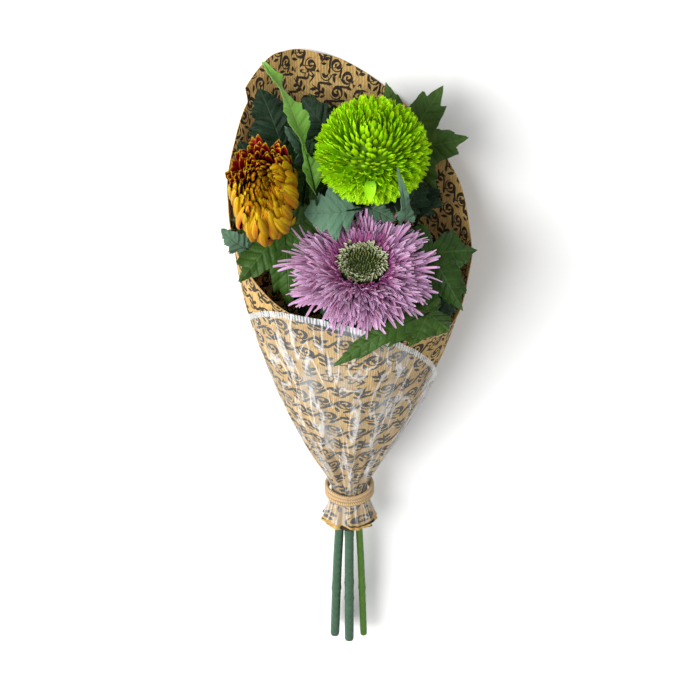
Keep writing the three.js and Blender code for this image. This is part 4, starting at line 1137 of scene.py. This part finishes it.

# A twig: its name, the solid it stands for, its angle in the neck, its top, the way it points there,
# and its leaves.
# As above, each leaf's last number before its seed is its tone, given about 0 as painted shade for the back
# leaf far inside the wrap.
for name, node, angle, top, facing, leaves in (
    ("maple_twig_right", "maple_sprig_right", 60, (34, 258, 48), (0.2, 1, 0), [
        MapleLeaf(0.88, (33, 266, 54), (60, 308, 46), (-0.1, 0.3, 0.95), 46, 0.08, 0.17, seed=14, wave=1.4),
        MapleLeaf(0.76, (52, 215, 98), (42, 171, 119), (-0.1, 0.45, 0.9), 40, 0.12, 0.03, seed=15),
        LongLeaf(0.70, (50, 186, 126), (-10, 163, 151), (0.2, 0.75, 0.65), 46, 0.14, 0.16, seed=16),
    ]),
    ("maple_twig_left", "maple_sprig_left", -120, (-23, 255, 78), (0, 1, 0.3), [
        RaggedLeaf(0.98, (-21, 257, 103), (-49, 338, 86), (0.75, 0.2, 0.6), 18, 0.06, 0.95, seed=17, wave=0.9,
                   fold=0.45),
        MapleLeaf(0.72, (-42, 227, 86), (-38, 182, 110), (0.1, 0.5, 0.85), 46, 0.12, 0.16, seed=18),
    ]),
    ("maple_twig_back", "maple_sprig_back", 180, (-6, 236, 32), (-0.1, 1, 0), [
        MapleLeaf(0.86, (-6, 240, 32), (-26, 296, 28), (0.1, 0, 1), 64, 0.06, 0.02, seed=19),
    ]),
):
    line = stem_knots(np.radians(angle), np.array(top, float), facing)
    piece(name, leafy_stem(line, leaves, TWIG, TWIG_STALK, TWIG_RIDGE), maple_leaf, [node])

# ------------------------------------------------------------------ floor, light and camera


def floor():
    """A pale matt floor, 30 m across, 0.4 mm below the table's height."""
    side = 13
    x, y = np.meshgrid(*[np.linspace(-15, 15, side)] * 2, indexing="ij")
    faces = faces_of(np.arange(side**2).reshape(side, side)).tolist()
    n = Finish("pale_floor", roughness=0.85, specular_ior_level=0.2)
    material = n.shade(base_color=n.blend(n.noise(n.mm(), 0.004), (0.86, 0.86, 0.855), (0.90, 0.90, 0.895)))
    made = new_object("floor", np.stack([x, y, 0 * x - 0.0004], -1).reshape(-1, 3), faces, material)


def soft_light(name, at, towards, power, colour=(1, 1, 1)):
    """A round lamp 1 m across."""
    lamp = bpy.data.lights.new(name, "AREA")
    lamp.shape, lamp.size, lamp.energy, lamp.color = "DISK", 1.0, power, colour
    made = bpy.data.objects.new(name, lamp)
    made.location = at
    made.rotation_euler = (Vector(towards) - Vector(at)).to_track_quat("-Z", "Y").to_euler()
    bpy.context.scene.collection.objects.link(made)


def daylight(strength):
    world = bpy.data.worlds.new("soft_daylight")
    world.use_nodes = True
    background = world.node_tree.nodes["Background"]
    background.inputs["Color"].default_value = (0.97, 0.975, 0.98, 1)
    background.inputs["Strength"].default_value = strength
    bpy.context.scene.world = world


def camera(elevation, distance, focal_length, middle):
    """Looks down on the blooms' faces from beyond their heads, at the photograph's angle."""
    e = np.radians(elevation)
    towards, side = Vector((0, np.cos(e), np.sin(e))), Vector((1, 0, 0))
    lens = bpy.data.cameras.new("camera")
    lens.lens, lens.sensor_width = focal_length, 36
    lens.clip_start, lens.clip_end = 0.05, 20
    made = bpy.data.objects.new("camera", lens)
    made.location = Vector(middle) + towards * distance
    made.rotation_mode = "QUATERNION"
    made.rotation_quaternion = Matrix((side, towards.cross(side), towards)).transposed().to_quaternion()
    bpy.context.scene.collection.objects.link(made)
    bpy.context.scene.camera = made


floor()
daylight(0.66)
soft_light("window", (-0.8, 0.6, 1.7), (0, 0.05, 0.05), 33)
soft_light("fill", (-1.3, 0.2, 0.9), (0.05, 0.08, 0.05), 17, (1.0, 0.97, 0.93))
camera(62, 1.2, 90, (0, 0.021, 0.049))
bpy.context.scene.view_settings.view_transform = "Standard"
